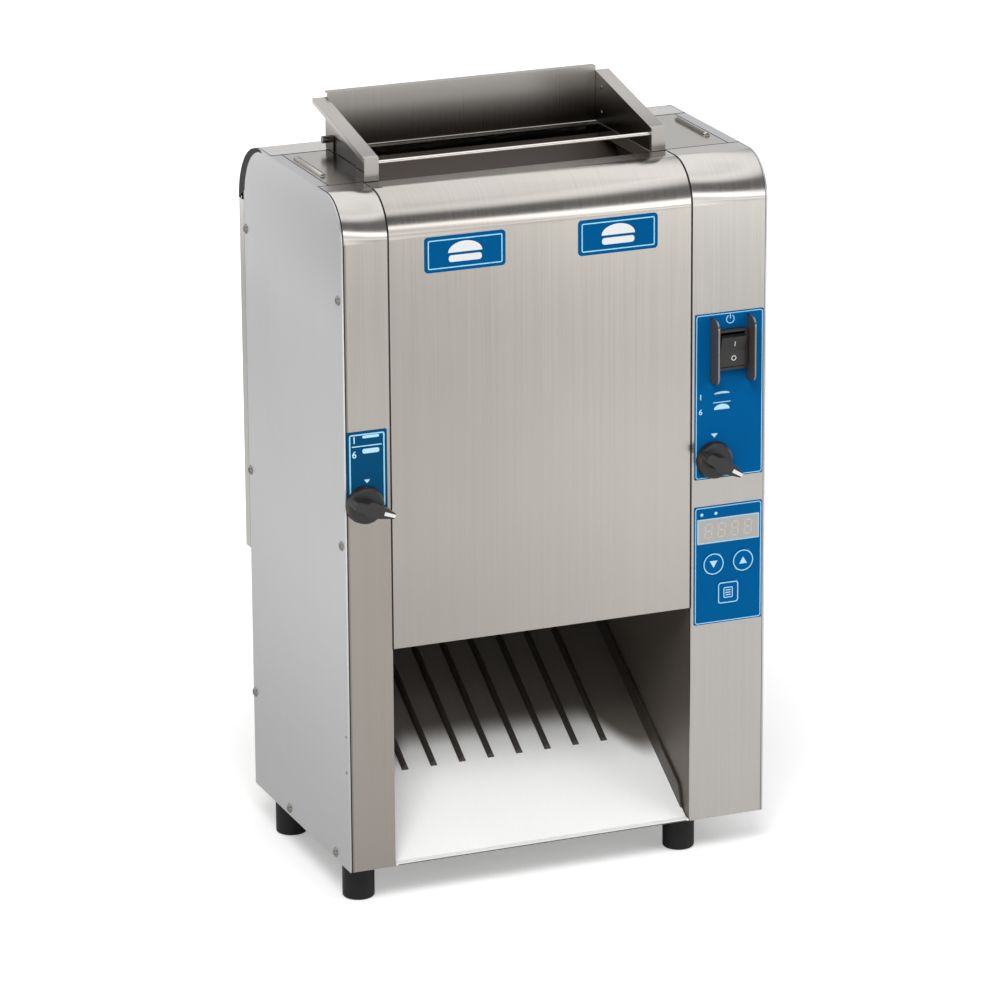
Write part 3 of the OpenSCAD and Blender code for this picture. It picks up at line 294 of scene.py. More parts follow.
def finish(name, code, rough, metal=0.0, grain=(300, 300, 300), tone=0.08, swing=0.05, relief=0.1, depth=0.05,
           clouds=0.35, **sockets):
    """A node material: grain is the noise's lines per metre along x, y and z, depth its relief in millimetres."""
    made = bpy.data.materials.new(name)
    made.use_nodes = True
    wires = made.node_tree
    skin = wires.nodes["Principled BSDF"]
    skin.inputs["Metallic"].default_value = metal
    for socket, value in sockets.items():
        skin.inputs[socket.replace("_", " ")].default_value = value
    place = add(wires, "TexCoord").outputs["Object"]
    stretch = add(wires, "Mapping", {"Vector": place, "Scale": grain}).outputs["Vector"]
    lines = add(wires, "TexNoise", {"Vector": stretch, "Scale": 1.0, "Detail": 5.0}).outputs["Fac"]
    cloud = add(wires, "TexNoise", {"Vector": place, "Scale": 9.0, "Detail": 3.0}).outputs["Fac"]
    blend = add(wires, "Mix", {"Factor": clouds, "A": lines, "B": cloud}).outputs["Result"]
    shade = add(wires, "ValToRGB", {"Fac": blend})
    for stop, at, part in zip(shade.color_ramp.elements, noise_ends, (1 - tone, 1 + tone)):
        stop.position = at
        stop.color = [min(1.0, c * part) for c in paint(code)] + [1]
    dull = ramp_over(wires, blend, *noise_ends, max(smoothest, rough - swing), min(1.0, rough + swing), "LINEAR")
    bump = add(wires, "Bump", {"Strength": relief, "Distance": depth * mm, "Height": lines})
    wires.links.new(shade.outputs["Color"], skin.inputs["Base Color"])
    wires.links.new(dull, skin.inputs["Roughness"])
    wires.links.new(bump.outputs["Normal"], skin.inputs["Normal"])
    return made


# %% [markdown]
# ## Steel
# The cabinet is folded from brushed stainless sheet, with the grain running up the front and over the bend. The
# side panels are a smoother sheet, the hopper and the switch guard are darker and more used, and the chute is
# polished so that nothing sticks to it. Because the grain of the front runs along y and z, its noise only changes
# quickly along x; on the sides it changes along y.

# %% Steel finishes
front_grain, side_grain = (1500, 5, 5), (5, 1500, 5)
front_code, side_code, column_code = "#b0aba4", "#d8d8d9", "#a29c95"
brushed = {"metal": 1.0, "grain": front_grain, "tone": 0.05, "swing": 0.04, "depth": 0.02}
finishes = {
    "steel": finish("brushed_front_steel", front_code, 0.19, relief=0.12, **brushed),
    "steel_side": finish("smooth_side_steel", side_code, 0.30, 0.75, side_grain, 0.03, 0.03, 0.08, 0.02),
    "steel_bright": finish("polished_chute_steel", "#fbfbfa", 0.34, 0.0, front_grain, 0.03, 0.05, 0.04, 0.02),
    "steel_dark": finish("used_hopper_steel", "#a5a19c", 0.28, 1.0, (2600, 5, 5), 0.012, 0.010, 0.004, 0.01),
    "screws": finish("zinc_screw_steel", "#8a867f", 0.28, 1.0, (900, 900, 900), 0.06, 0.05, 0.1, 0.02),
}
inner_steel = finish("smoked_inner_steel", "#6b645d", 0.42, 0.45, front_grain, 0.10, 0.06, 0.05, 0.02, 0.6)
column_steel = finish("column_steel", column_code, 0.19, **brushed)
housing_steel = finish("housing_steel", "#bfbbb6", 0.19, **brushed)
plate_steel = finish("top_plate_steel", front_code, 0.19, relief=0.12, **brushed)
rear_steel = finish("rear_cover_steel", "#d3d0cb", 0.24, **brushed)
guard_steel = finish("stained_guard_steel", "#57514d", 0.36, 0.25, front_grain, 0.06, 0.05, 0.05, 0.02)
guide_steel = finish("browned_guide_steel", "#3f3833", 0.46, 0.3, front_grain, 0.10, 0.06, 0.05, 0.02, 0.6)
rod_steel = finish("polished_rod_steel", "#d8d5d0", 0.16, 1.0, (40, 1200, 1200), 0.04, 0.03, 0.06, 0.02)
print("materials so far:", len(bpy.data.materials))

# %% [markdown]
# ## Film, plastic and the works
# The blue plates are printed polyester film with a satin face. Knobs and rocker are moulded black plastic with a
# fine spark texture, the feet are rubber. Inside are dark belts, a cast plate, bronze bushes and brass gears. They
# use the same helper with an even grain, because moulded and cast faces have no direction.

# %% Film, plastic and inner finishes
even, coarse = (700, 700, 700), (260, 260, 260)
finishes.update({
    "foot_rubber": finish("foot_rubber", "#1a1818", 0.55, 0.0, coarse, 0.10, 0.06, 0.25, 0.08,
                          Specular_IOR_Level=0.25),
    "display_film": finish("display_film", "#aeaba7", 0.24, 0.0, even, 0.04, 0.03, 0.05, 0.01, 0.5),
    "black_plastic": finish("black_plastic", "#232120", 0.34, 0.0, coarse, 0.12, 0.06, 0.2, 0.04),
    "grey_plastic": finish("grey_plastic", "#6f6f6d", 0.45, 0.0, coarse, 0.08, 0.05, 0.2, 0.05),
    "board": finish("board_lacquer", "#1f5a33", 0.35, 0.0, (180, 180, 180), 0.18, 0.06, 0.2, 0.05),
    "platen_alloy": finish("cast_plate_alloy", "#8b8885", 0.45, 1.0, coarse, 0.10, 0.08, 0.2, 0.05),
    "rod_sheath": finish("heater_sheath", "#5b534b", 0.45, 1.0, even, 0.12, 0.08, 0.2, 0.03),
    "release_film": finish("release_film", "#a8845a", 0.40, 0.0, (900, 900, 900), 0.10, 0.05, 0.3, 0.05),
    "belt": finish("belt_mesh", "#45413d", 0.50, 0.6, (220, 600, 600), 0.18, 0.08, 0.4, 0.10),
    "bronze": finish("bush_bronze", "#a9824a", 0.34, 1.0, even, 0.08, 0.06, 0.15, 0.03),
    "gear": finish("gear_brass", "#b08d4f", 0.32, 1.0, even, 0.08, 0.06, 0.15, 0.03),
    "motor": finish("motor_enamel", "#4a4d50", 0.40, 0.0, coarse, 0.10, 0.05, 0.2, 0.05),
    "ceramic": finish("terminal_ceramic", "#d9d2c2", 0.40, 0.0, coarse, 0.05, 0.05, 0.15, 0.04),
})
film = {"grain": even, "tone": 0.05, "swing": 0.04, "depth": 0.01, "clouds": 0.5, "Specular_IOR_Level": 0.03}
label_film = finish("label_film", "#00558b", 0.50, **film)
# The left plate's film is darker, a painted shade.
shaded_left_film = finish("left_plate_shaded_film", "#094a71", 0.50, **film)
finishes["blue_print"] = finish("blue_film", "#005a94", 0.50, **film)
finishes["key_print"] = finish("key_film", "#005b96", 0.48, **film)
plate_ink, white_ink, pale_ink = (finish(name, code, 0.40, 0.0, even, 0.03, 0.04, 0.08, 0.01) for name, code in
                                  (("plate_ink", "#b5e1f6"), ("white_ink", "#e3e5e5"), ("pale_blue_ink", "#9bd8f4")))
ghost_ink = finish("ghost_segment_ink", "#bcb8b3", 0.26, 0.0, even, 0.03, 0.03, 0.05, 0.01)
print("materials in all:", len(bpy.data.materials))

# %% [markdown]
# ## Painted shade on the chute
# The chute's mouth is white, and a painted shade darkens its far end, standing for the shadow under the cover and
# the dark inside that the steel would reflect. Two materials on one sheet would meet in a hard line. Instead one
# material fades: the distance behind the mouth runs through a ramp that mixes the lit colour into the shaded one,
# and beside the flanges, in the shadow of the walls, the painted shade comes further forward. The ribs and flanges
# stand above the sheet's plane, and the painted shade is darkest on them.

# %% Painted shade on the chute
shade_start, shade_full = 96 * mm, 120 * mm
flange_start, flange_full, flange_lead = 0.58, 0.95, 38 * mm
rib_start, rib_full = 0.15 * mm, 0.5 * mm
lip_end, lip_past = 9 * mm, 12 * mm
sheet_shade_colour, rib_shade_colour, shade_metallic = "#7d7771", "#4b4642", 0.3


def own_axes(wires):
    """The place on an object, whole and as its x, y and z."""
    place = add(wires, "TexCoord").outputs["Object"]
    return place, add(wires, "SeparateXYZ", {0: place}).outputs


def mix_to(wires, share, colour, code, over=None):
    """Fades a colour to a code; with over, the colour's own code, it is scaled to it instead and keeps its grain."""
    tone = paint(code)
    if over:
        tone = [new / old for new, old in zip(tone, paint(over))]
    return mix_colour(wires, share, colour, tone + [1], "MULTIPLY" if over else "MIX")


low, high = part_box("chute")
wires = finishes["steel_bright"].node_tree
skin = wires.nodes["Principled BSDF"]
place, axes = own_axes(wires)
x_mid, half = (low.x + high.x) / 2, (high.x - low.x) / 2
aside = sums(wires, "ABSOLUTE", sums(wires, "SUBTRACT", axes["X"], x_mid))
early = ramp_over(wires, aside, flange_start * half, flange_full * half, 0.0, flange_lead)
depth_shade = ramp_over(wires, sums(wires, "ADD", axes["Y"], early), low.y + shade_start, low.y + shade_full)
slope = max((f for f in nodes["chute"].data.polygons if f.normal.z > 0.5), key=lambda f: f.area)
level = add(wires, "VectorMath", {0: place, 1: slope.normal}, operation="DOT_PRODUCT").outputs["Value"]
plane = slope.center.dot(slope.normal)
above = ramp_over(wires, level, plane + rib_start, plane + rib_full)
raised_shade = sums(wires, "MULTIPLY", above, ramp_over(wires, axes["Y"], low.y + lip_end, low.y + lip_past))
unshaded_colour = skin.inputs["Base Color"].links[0].from_socket
# The colour fades from lit to a painted shade towards the back, darkest on the ribs and flanges.
colour = mix_to(wires, raised_shade, mix_to(wires, depth_shade, unshaded_colour, sheet_shade_colour), rib_shade_colour)
wires.links.new(colour, skin.inputs["Base Color"])
shine = sums(wires, "MULTIPLY", sums(wires, "MAXIMUM", depth_shade, raised_shade), shade_metallic)
wires.links.new(shine, skin.inputs["Metallic"])
print("painted_shade from", round(shade_start / mm), "to", round(shade_full / mm), "mm behind the mouth")

# %% [markdown]
# ## Painted light and shade on the sheets
# The hopper's throat gets a painted shade that darkens it towards its bottom, and the large sheets get painted light
# and shade: lighter or darker towards an edge, and on the column a dark line along its left edge. A new colour mixed
# in would cover the brushed grain, so for the sheets the tint scales the colour that is there.

# %% Painted light and shade on the sheets
clear_fade = 4 * mm


def paint_light_along(axis, made, start, stop, code, over=None, clear_y=None):
    """Paints light and shade: mixes a colour into a finish from start to stop along an axis, but not in front of
    clear_y.
    """
    wires = made.node_tree
    skin = wires.nodes["Principled BSDF"]
    axes = own_axes(wires)[1]
    share = ramp_over(wires, axes[axis], start, stop)
    if clear_y is not None:
        share = sums(wires, "MULTIPLY", share, ramp_over(wires, axes["Y"], clear_y, clear_y + clear_fade))
    colour = mix_to(wires, share, skin.inputs["Base Color"].links[0].from_socket, code, over)
    wires.links.new(colour, skin.inputs["Base Color"])
    print(made.name, "is tinted from", round(start / mm), "to", round(stop / mm), "mm")


throat_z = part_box("hopper_back")[0].z
plate_low, plate_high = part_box("left_overlay")
column_low, column_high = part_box("left_column")
cover_low, cover_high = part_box("front_cover")
panel_low, panel_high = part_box("left_side_panel")
front_steel, side_steel = finishes["steel"], finishes["steel_side"]
# Painted shade: the hopper's throat darkens towards its bottom.
paint_light_along("Z", finishes["steel_dark"], throat_z + 34 * mm, throat_z + 2 * mm, "#4a4540",
           clear_y=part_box("hopper_left_side")[0].y + 2 * mm)
# Painted light and shade on the column: lighter up over the plate, a dark line at its left edge, lighter at the bend.
paint_light_along("Z", column_steel, plate_low.z, plate_high.z, "#b3aea7", column_code)
paint_light_along("X", column_steel, column_low.x + 2.0 * mm, column_low.x + 1.2 * mm, "#88847d")
paint_light_along("Z", column_steel, column_high.z - 36 * mm, column_high.z - 29 * mm, "#bcb8b3")
# Painted light and shade on the front: lighter towards the right, darker towards the bottom.
paint_light_along("X", front_steel, cover_low.x, cover_high.x, "#c1bcb5", front_code)
paint_light_along("Z", front_steel, cover_low.z + 110 * mm, cover_low.z, "#aaa59e", front_code)
# Painted shade on the side panels: darker towards the bottom and towards the top.
paint_light_along("Z", side_steel, panel_low.z + 270 * mm, panel_low.z, "#b6b6b6", side_code)
paint_light_along("Z", side_steel, panel_high.z - 110 * mm, panel_high.z - 10 * mm, "#b4b4b5", side_code)

# %% [markdown]
# ## Dress the solids
# Every solid arrives with the name of its finish on its material slot, so a loop can hang the right one on each.
# A few pieces share a slot but not a look: the inner walls are darkened by years of heat, the thin rod across the
# hopper is ground bright, the top plates and the narrow front sheets get their own greys of brushed steel, the labels
# are another print, and the film of the left plate is darker as a painted shade. Those are listed after the loop.

# %% Dress the solids
for node, solid in nodes.items():
    for holder in solid.material_slots:
        holder.material = finishes[holder.material.name]
by_hand = {
    inner_steel: ("left_inner_wall", "right_inner_wall", "base_pan"),
    guide_steel: ("front_feed_guide", "rear_feed_guide"), plate_steel: ("top_plate_left", "top_plate_right"),
    rear_steel: ("rear_cover",), rod_steel: ("hopper_rod",), column_steel: ("left_column",),
    housing_steel: ("control_front",), guard_steel: ("switch_guard",),
    label_film: ("cover_labels",), shaded_left_film: ("left_overlay",),
}
for look, names in by_hand.items():
    for node in names:
        nodes[node].material_slots[0].material = look
print("dressed:", len(nodes))

# %% [markdown]
# ## Soft edges
# No sheet-metal edge is perfectly sharp: shears and press brakes leave a small radius, and that radius is what
# catches the light. Editing the solids is not wanted here, so modifiers do it: Weld joins the loose corners
# that the file format splits, Decimate turns flat triangles back into whole faces, and Bevel rounds only edges that
# turn by more than forty degrees.

# %% Soft edges
join_reach, flat_angle, sharp_angle = 0.002 * mm, math.radians(0.4), math.radians(40)


def soften(node, radius, steps=2):
    solid = nodes[node]
    join = solid.modifiers.new("join", "WELD")
    join.merge_threshold = join_reach
    flat = solid.modifiers.new("flat", "DECIMATE")
    flat.decimate_type, flat.angle_limit = "DISSOLVE", flat_angle
    ease = solid.modifiers.new("ease", "BEVEL")
    ease.limit_method, ease.angle_limit = "ANGLE", sharp_angle
    ease.width, ease.segments = radius * mm, steps
    ease.harden_normals = True


edge_radius = {
    0.35: ["front_cover", "left_column", "control_front", "left_side_panel", "right_side_panel", "rear_cover",
           "lower_back_panel", "top_plate_left", "top_plate_right", "hopper_left_side", "hopper_right_side",
           "hopper_back", "switch_guard", "chute"],
    0.6: ["left_knob", "right_knob", "rocker"],
}
for radius, names in edge_radius.items():
    for node in names:
        soften(node, radius)
    print("edges of", radius, "mm on", len(names), "solids")

# %% [markdown]
# ## Print
# The white and pale marks on the blue film are screen print: flat areas of ink with clean edges. Flat curves are
# made for this. Each mark is a closed loop, a loop inside another makes a hole, and a tiny extrude gives the ink
# its thickness. Turned to a mesh, with the loose corners joined, it is a closed solid that can be exported.

# %% Helpers for print
ink_lift = 0.12 * mm
ink_sunk = 0.2 * ink_lift
ink_above, ink_below = 0.7 * ink_lift, 0.3 * ink_lift
cap_height, stroke_gain = 0.70, 0.022
ray_back = 50 * mm


def arc(x, z, radius, start=0, stop=360, steps=48):
    """Points on a circle, in degrees; a full turn leaves out the last point."""
    count = steps if stop - start >= 360 else steps + 1
    turns = (around(start + (stop - start) * i / steps) for i in range(count))
    return [(x + radius * c, z + radius * s) for c, s in turns]


def round_box(x, z, wide, tall, radius):
    """A loop round a box with round corners, by its middle and its size."""
    loop = []
    for sx, sz, start in ((1, 1, 0), (-1, 1, 90), (-1, -1, 180), (1, -1, 270)):
        loop += arc(x + sx * (wide / 2 - radius), z + sz * (tall / 2 - radius), radius, start, start + 90, 8)
    return loop


def box_line(x, z, wide, tall, radius, line):
    """A rounded frame as two loops."""
    return [round_box(x, z, wide, tall, radius),
            round_box(x, z, wide - 2 * line, tall - 2 * line, max(0.2, radius - line))]


def ring(x, z, radius, line):
    return [arc(x, z, radius), arc(x, z, radius - line)]


def arrow(x, z, wide, tall, way):
    """A triangle that points up for a way of 1 and down for -1."""
    return [(x - wide / 2, z - way * tall / 2), (x + wide / 2, z - way * tall / 2), (x, z + way * tall / 2)]


def hang(name, mesh, shape, body, look):
    """Fills a mesh with a worked shape, gives it a look and puts it on a body."""
    bmesh.ops.recalc_face_normals(shape, faces=shape.faces)
    shape.to_mesh(mesh)
    shape.free()
    mesh.materials.clear()
    mesh.materials.append(look)
    piece = new_object(name, mesh)
    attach(piece, body)
    print(name, "faces", len(mesh.polygons))
    return piece


def settle(name, curve, spot, body, ink, onto=None):
    """Turns a flat curve into an ink solid on a face that looks along -y, or lays it on a node's own surface."""
    curve.dimensions, curve.fill_mode, curve.extrude = "2D", "BOTH", ink_lift / 2
    draft = new_object(name + "_draft", curve)
    draft.matrix_world = Matrix.Translation(spot) @ Matrix.Rotation(math.radians(90), 4, "X")
    bpy.context.view_layer.update()
    mesh = bpy.data.meshes.new_from_object(draft.evaluated_get(bpy.context.evaluated_depsgraph_get()))
    mesh.transform(draft.matrix_world)
    bpy.data.objects.remove(draft)
    mesh.name = name
    shape = bmesh.new()
    shape.from_mesh(mesh)
    bmesh.ops.remove_doubles(shape, verts=shape.verts, dist=join_reach)
    if onto:
        front = min(v.co.y for v in shape.verts) + ink_lift / 2
        for v in shape.verts:
            found, hit, _, _ = nodes[onto].ray_cast((v.co.x, v.co.y - ray_back, v.co.z), (0, 1, 0))
            if found:
                v.co.y = hit.y - ink_above if v.co.y < front else hit.y + ink_below
    return hang(name, mesh, shape, body, ink)


def print_marks(name, loops, face, body, ink, onto=None):
    """Loops are lists of (x, z) in millimetres; face is the y of the printed surface in metres."""
    curve = bpy.data.curves.new(name, "CURVE")
    for loop in loops:
        line = curve.splines.new("POLY")
        line.points.add(len(loop) - 1)
        for point, (x, z) in zip(line.points, loop):
            point.co = (x * mm, z * mm, 0, 1)
        line.use_cyclic_u = True
    return settle(name, curve, (0, face - ink_sunk, 0), body, ink, onto)


def print_number(name, figure, x, z, tall, face):
    """A plain numeral in the built-in typeface on a plate of the cabinet, centred on x and z."""
    curve = bpy.data.curves.new(name, "FONT")
    curve.body, curve.size = figure, tall * mm / cap_height
    curve.align_x, curve.align_y = "CENTER", "CENTER"
    curve.resolution_u, curve.offset = 6, tall * mm * stroke_gain
    return settle(name, curve, (x * mm, face - ink_sunk, z * mm), "cabinet", plate_ink)


def middle_of(node):
    """A node's middle and size in millimetres, and the y of its front in metres."""
    low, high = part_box(node)
    return [(a + b) / 2 / mm for a, b in zip(low, high)], [(b - a) / mm for a, b in zip(low, high)], low.y


# %% [markdown]
# ## Labels on the front cover
# Two blue labels mark the two lanes behind the cover. Each has a thin pale frame and a plain sign: a half disc over
# a flat slab. The loops are placed from the corners of the label solids, so they follow if a label moves.

# %% Labels on the front cover
def dome_sign(x, z, wide, tall):
    """The upper half of an ellipse."""
    return [(x + wide / 2 * c, z + tall * s) for c, s in map(around, range(0, 181, 6))]


label_w, label_margin = 67.5, 5.2
(mid_x, _, mid_z), (span_x, _, label_h), label_face = middle_of("cover_labels")
for side, out in sides:
    x = mid_x + out * (span_x - label_w) / 2
    frame_line = box_line(x, mid_z, label_w - label_margin, label_h - label_margin, 1.4, 0.9)
    print_marks(f"{side}_label_frame", frame_line, label_face, "front_cover", pale_ink)
    sign = [dome_sign(x, mid_z + 0.4, 28.4, 8.6), round_box(x, mid_z - 4.4, 27.5, 5.4, 2.2)]
    print_marks(f"{side}_label_bun", sign, label_face, "front_cover", white_ink)

# %% [markdown]
# ## Left plate
# The plate above the left knob tells what the knob does: setting 1 is the thin end, 6 the thick one. A thin and a
# thick pill say that without words, and a small arrow points at the knob. Plain numerals use Blender's own
# typeface, because drawing figures stroke by stroke gives no better result.

# %% Left plate
(mid_x, _, _), (plate_w, _, _), plate_face = middle_of("left_overlay")
plate_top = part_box("left_overlay")[1].z / mm
left_edge = mid_x - plate_w / 2
knob_overlap, edge_gap, figure_x, figure_tall = 18.5, 2.0, left_edge + 6.2, 5.4
frame_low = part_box("left_knob")[1].z / mm - knob_overlap
frame_high = plate_top - edge_gap
frame_line = box_line(mid_x, (frame_high + frame_low) / 2, plate_w - 2 * edge_gap, frame_high - frame_low, 1.6, 1.1)
print_marks("left_plate_frame", frame_line, plate_face, "cabinet", pale_ink)
print_marks("left_plate_signs",
            [round_box(left_edge + 20.0, plate_top - 4.6, 14, 2.2, 1.0),
             round_box(left_edge + 16.8, plate_top - 11.9, 25, 0.8, 0.35),
             round_box(left_edge + 20.0, plate_top - 16.2, 14, 3.8, 1.5),
             arrow(left_edge + 16.5, plate_top - 41.0, 5.0, 3.2, -1)], plate_face, "cabinet", plate_ink)
for figure, down in (("1", 6.9), ("6", 18.6)):
    print_number(f"left_plate_{figure}", figure, figure_x, plate_top - down, figure_tall, plate_face)

# %% [markdown]
# ## Upper right plate
# This plate carries the switch and the second knob. Its frame follows the edge, a power sign sits over the rocker,
# and a thin and a thick dome show the range of the knob. The power sign is a ring with a gap and a bar through it:
# two loops, since a stroke is only a shape with two sides.

# %% Upper right plate
(mid_x, _, mid_z), (plate_w, _, plate_h), plate_face = middle_of("upper_overlay")
plate_top, left_edge = mid_z + plate_h / 2, mid_x - plate_w / 2
edge_gap, corner_r, thin_line = 0.8, 2.2, 0.7
frame_line = box_line(mid_x, mid_z, plate_w - 2 * edge_gap, plate_h - 2 * edge_gap, corner_r, thin_line)
print_marks("upper_plate_frame", frame_line, plate_face, "cabinet", pale_ink)
power_x, power_z, power_r, power_line = mid_x + 0.6, plate_top - 6.1, 3.7, 0.8
gap_end, gap_start = 120, 420
outer, inner = (arc(power_x, power_z, r, gap_end, gap_start, 40) for r in (power_r, power_r - power_line))
power_bar = round_box(power_x, power_z + 2.4, power_line, 4.2, 0.35)
print_marks("power_sign", [outer + inner[::-1], power_bar], plate_face, "cabinet", pale_ink)
sign_x, figure_x, figure_tall = left_edge + 23.4, left_edge + 4.9, 4.4
print_marks("upper_plate_signs",
            [dome_sign(sign_x, plate_top - 67.0, 13.6, 1.9),
             round_box(sign_x, plate_top - 74.0, 15.4, 0.6, 0.25),
             dome_sign(sign_x, plate_top - 80.0, 13.6, 4.4),
             arrow(left_edge + 17.0, plate_top - 101.2, 6.0, 3.4, -1)], plate_face, "cabinet", plate_ink)
for figure, down in (("1", 68.4), ("6", 80.8)):
    print_number(f"upper_plate_{figure}", figure, figure_x, plate_top - down, figure_tall, plate_face)

# %% [markdown]
# ## Lower right plate and display
# Below sit the display and three keys. A pale frame surrounds the display, two dots stand over its digits, and the
# unlit digits show faintly as eights. No typeface here has segments, so seven pointed bars make one, leaning a bit.

# %% Lower right plate and display
(mid_x, _, mid_z), (plate_w, _, plate_h), plate_face = middle_of("lower_overlay")
plate_top, left_edge = mid_z + plate_h / 2, mid_x - plate_w / 2
(glass_x, _, glass_z), (glass_w, _, glass_h), glass_face = middle_of("display_window")
frame_line = box_line(mid_x, mid_z, plate_w - 2 * edge_gap, plate_h - 2 * edge_gap, corner_r, thin_line)
print_marks("lower_plate_frame", frame_line, plate_face, "cabinet", pale_ink)
frame_line = box_line(glass_x, glass_z, glass_w - 0.4, glass_h - 0.4, 0.9, 0.8)
print_marks("display_frame", frame_line, glass_face, "cabinet", pale_ink)
lean = 0.09
dots = [arc(left_edge + x, plate_top - 6.6, 1.3, steps=24) for x in (6.5, 18.8)]
print_marks("lower_plate_dots", dots, plate_face, "cabinet", plate_ink)


def bar(low, high, line):
    """Six corners of a bar with pointed ends, as steps along it and across it."""
    half = line / 2
    return [(low, 0), (low + half, half), (high - half, half), (high, 0), (high - half, -half), (low + half, -half)]


def eight(x, z, wide, tall, line):
    """The seven bars of a digit that shows an eight."""
    gap, w, h = line / 4, (wide - line) / 2, (tall - line) / 2
    bars = [[(along, level * h + over) for along, over in bar(gap - w, w - gap, line)] for level in (-1, 0, 1)]
    bars += [[(side * w + over, along) for along, over in bar(low + gap, low + h - gap, line)]
             for side in (-1, 1) for low in (-h, 0)]
    return [[(x + px + lean * pz, z + pz) for px, pz in loop] for loop in bars]


digit_step, digit_w, digit_h, digit_line = 11.6, 7.4, 13.0, 1.5
digits = []
for place in (-1.5, -0.5, 0.5, 1.5):
    digits += eight(glass_x + place * digit_step, glass_z, digit_w, digit_h, digit_line)
print_marks("display_digits", digits, glass_face, "cabinet", ghost_ink)

# %% [markdown]
# ## Keys
# Two round keys carry arrows and a square one carries a page of lines. Their marks could lie on the plate, but they
# belong to the key's own body, so that they go in with it when it is pressed.

# %% Keys
key_line = 0.9
for key, way in (("key_down", -1), ("key_up", 1)):
    (x, _, z), (wide, _, _), face = middle_of(key)
    print_marks(f"{key}_ring", ring(x, z, wide / 2 - 0.3, key_line), face, key, pale_ink)
    print_marks(f"{key}_arrow", [arrow(x, z + 0.2 * way, 6.8, 5.8, way)], face, key, plate_ink)
(x, _, z), (wide, _, _), face = middle_of("key_program")
frame_line = box_line(x, z, wide - 0.6, wide - 0.6, 2.6, key_line)
print_marks("key_program_frame", frame_line, face, "key_program", pale_ink)
page = box_line(x, z, 8.0, 9.0, 0.9, 0.7)
page += [round_box(x, z + up, 4.6, 0.8, 0.3) for up in (-2.0, 0.0, 2.0)]
print_marks("key_program_page", page, face, "key_program", plate_ink)

# %% [markdown]
# ## Marks on the knobs and the rocker
# A white line near the tip of each knob shows its setting, and the rocker has a bar for on and a ring for off. The
# rocker's face leans and is hollow, so its marks are dropped onto the real surface with a ray for every corner.

# %% Marks on the knobs and the rocker
skirt_r, line_start, line_stop, start_half, stop_half = 15.5, 10.5, 20.2, 1.5, 1.3
for knob, angle in (("left_knob", -20), ("right_knob", -31)):
    low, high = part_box(knob)
    hub_x, hub_z = low.x / mm + skirt_r, high.z / mm - skirt_r
    c, s = around(angle)
    line = [(hub_x + c * r - s * w, hub_z + s * r + c * w) for r, w in
            ((line_start, -start_half), (line_stop, -stop_half), (line_stop, stop_half), (line_start, start_half))]
    print_marks(f"{knob}_line", [line], low.y, knob, white_ink)
(x, _, z), _, face = middle_of("rocker")
on_bar, off_ring = [round_box(x + 1.2, z + 6.2, 0.65, 4.0, 0.3)], ring(x + 1.0, z - 6.0, 2.1, 0.6)
for name, loops in (("rocker_on", on_bar), ("rocker_off", off_ring)):
    print_marks(name, loops, face, "rocker", white_ink, "rocker")

# %% [markdown]
# ## A helper for swept strips
# Shade strips and highlight rims are long pieces with one small section. Blender can bevel a curve for this, but then
# the ends and the turn of the section are hard to hold. Joining rows of corners by hand is short, and the strip closes
# itself. A finished strip takes the look of its slot unless another one is given.

# %% A helper for swept strips
sunk = 0.05 * mm


def sweep_strip(shape, rows):
    """Joins rows of corners, each a closed section, into one closed strip."""
    rows = [[shape.verts.new(corner) for corner in row] for row in rows]
    for row, after in zip(rows, rows[1:]):
        for i in range(len(row)):
            j = (i + 1) % len(row)
            shape.faces.new((row[i], row[j], after[j], after[i]))
    shape.faces.new(rows[0][::-1])
    shape.faces.new(rows[-1])


def new_piece(name, shape, body, slot, look=None, smooth=False):
    piece = hang(name, bpy.data.meshes.new(name), shape, body, look or finishes[slot])
    for face in piece.data.polygons:
        face.use_smooth = smooth
    return piece


# %% [markdown]
# ## Shade strips in the corners
# The rear cover stands a little behind the side panels and bends over the top, and the crescent between cover and
# panel lies in shade. A sheet can't be folded on a bend, so a black strip in the rubber finish fills that crescent on
# each side as a painted shade and lips over the panel's corner. Its section runs from that lip to the cover's arc, so
# a row of corners for every few degrees gives both curves.

# %% Shade strips in the corners
cover_low, cover_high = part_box("rear_cover")
panel_r = 40 * mm
cover_r = panel_r + cover_high.y - panel_high.y
shade_r = cover_r - 0.1 * mm
mid_y = panel_high.y - panel_r
lip_drop, lip_wide, lip_loss = 2 * mm, 5.5 * mm, 3.5 * mm
steps = 30
# Each strip is black as a painted shade in the gap between cover and panel.
for side, out in sides:
    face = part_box(f"{side}_side_panel")[0 if out < 0 else 1].x
    corner_shade = bmesh.new()
    rows = []
    for i in range(steps + 1):
        c, s = around(90 * i / steps)
        lip = lip_wide - lip_loss * (i / steps) ** 2
        inner = (mid_y - lip + panel_r * s, panel_high.z - lip_drop - panel_r + panel_r * c)
        outer = (mid_y + shade_r * s, cover_high.z - cover_r + shade_r * c)
        rows.append([(face - out * x * mm, *point)
                     for x, point in ((-0.15, inner), (-0.3, outer), (1.4, outer), (1.4, inner))])
    sweep_strip(corner_shade, rows)
    new_piece(f"{side}_corner_shade_strip", corner_shade, "cabinet", "foot_rubber")

# %% [markdown]
# ## Shade lines in the joints
# The narrow gaps between the side panels, the bent front sheets, the top plates and the rear cover lie in shadow, and
# dark beads in the rubber finish paint that shadow as lines. A texture could draw them, but a bead is raised a little
# and catches light at its edge, so each one is a low strip that follows the sheets.

# %% Shade lines in the joints
bead_h = 0.12 * mm
bead_section = ((-1, -sunk), (-1, 0.6 * bead_h), (0, bead_h), (1, 0.6 * bead_h), (1, -sunk))


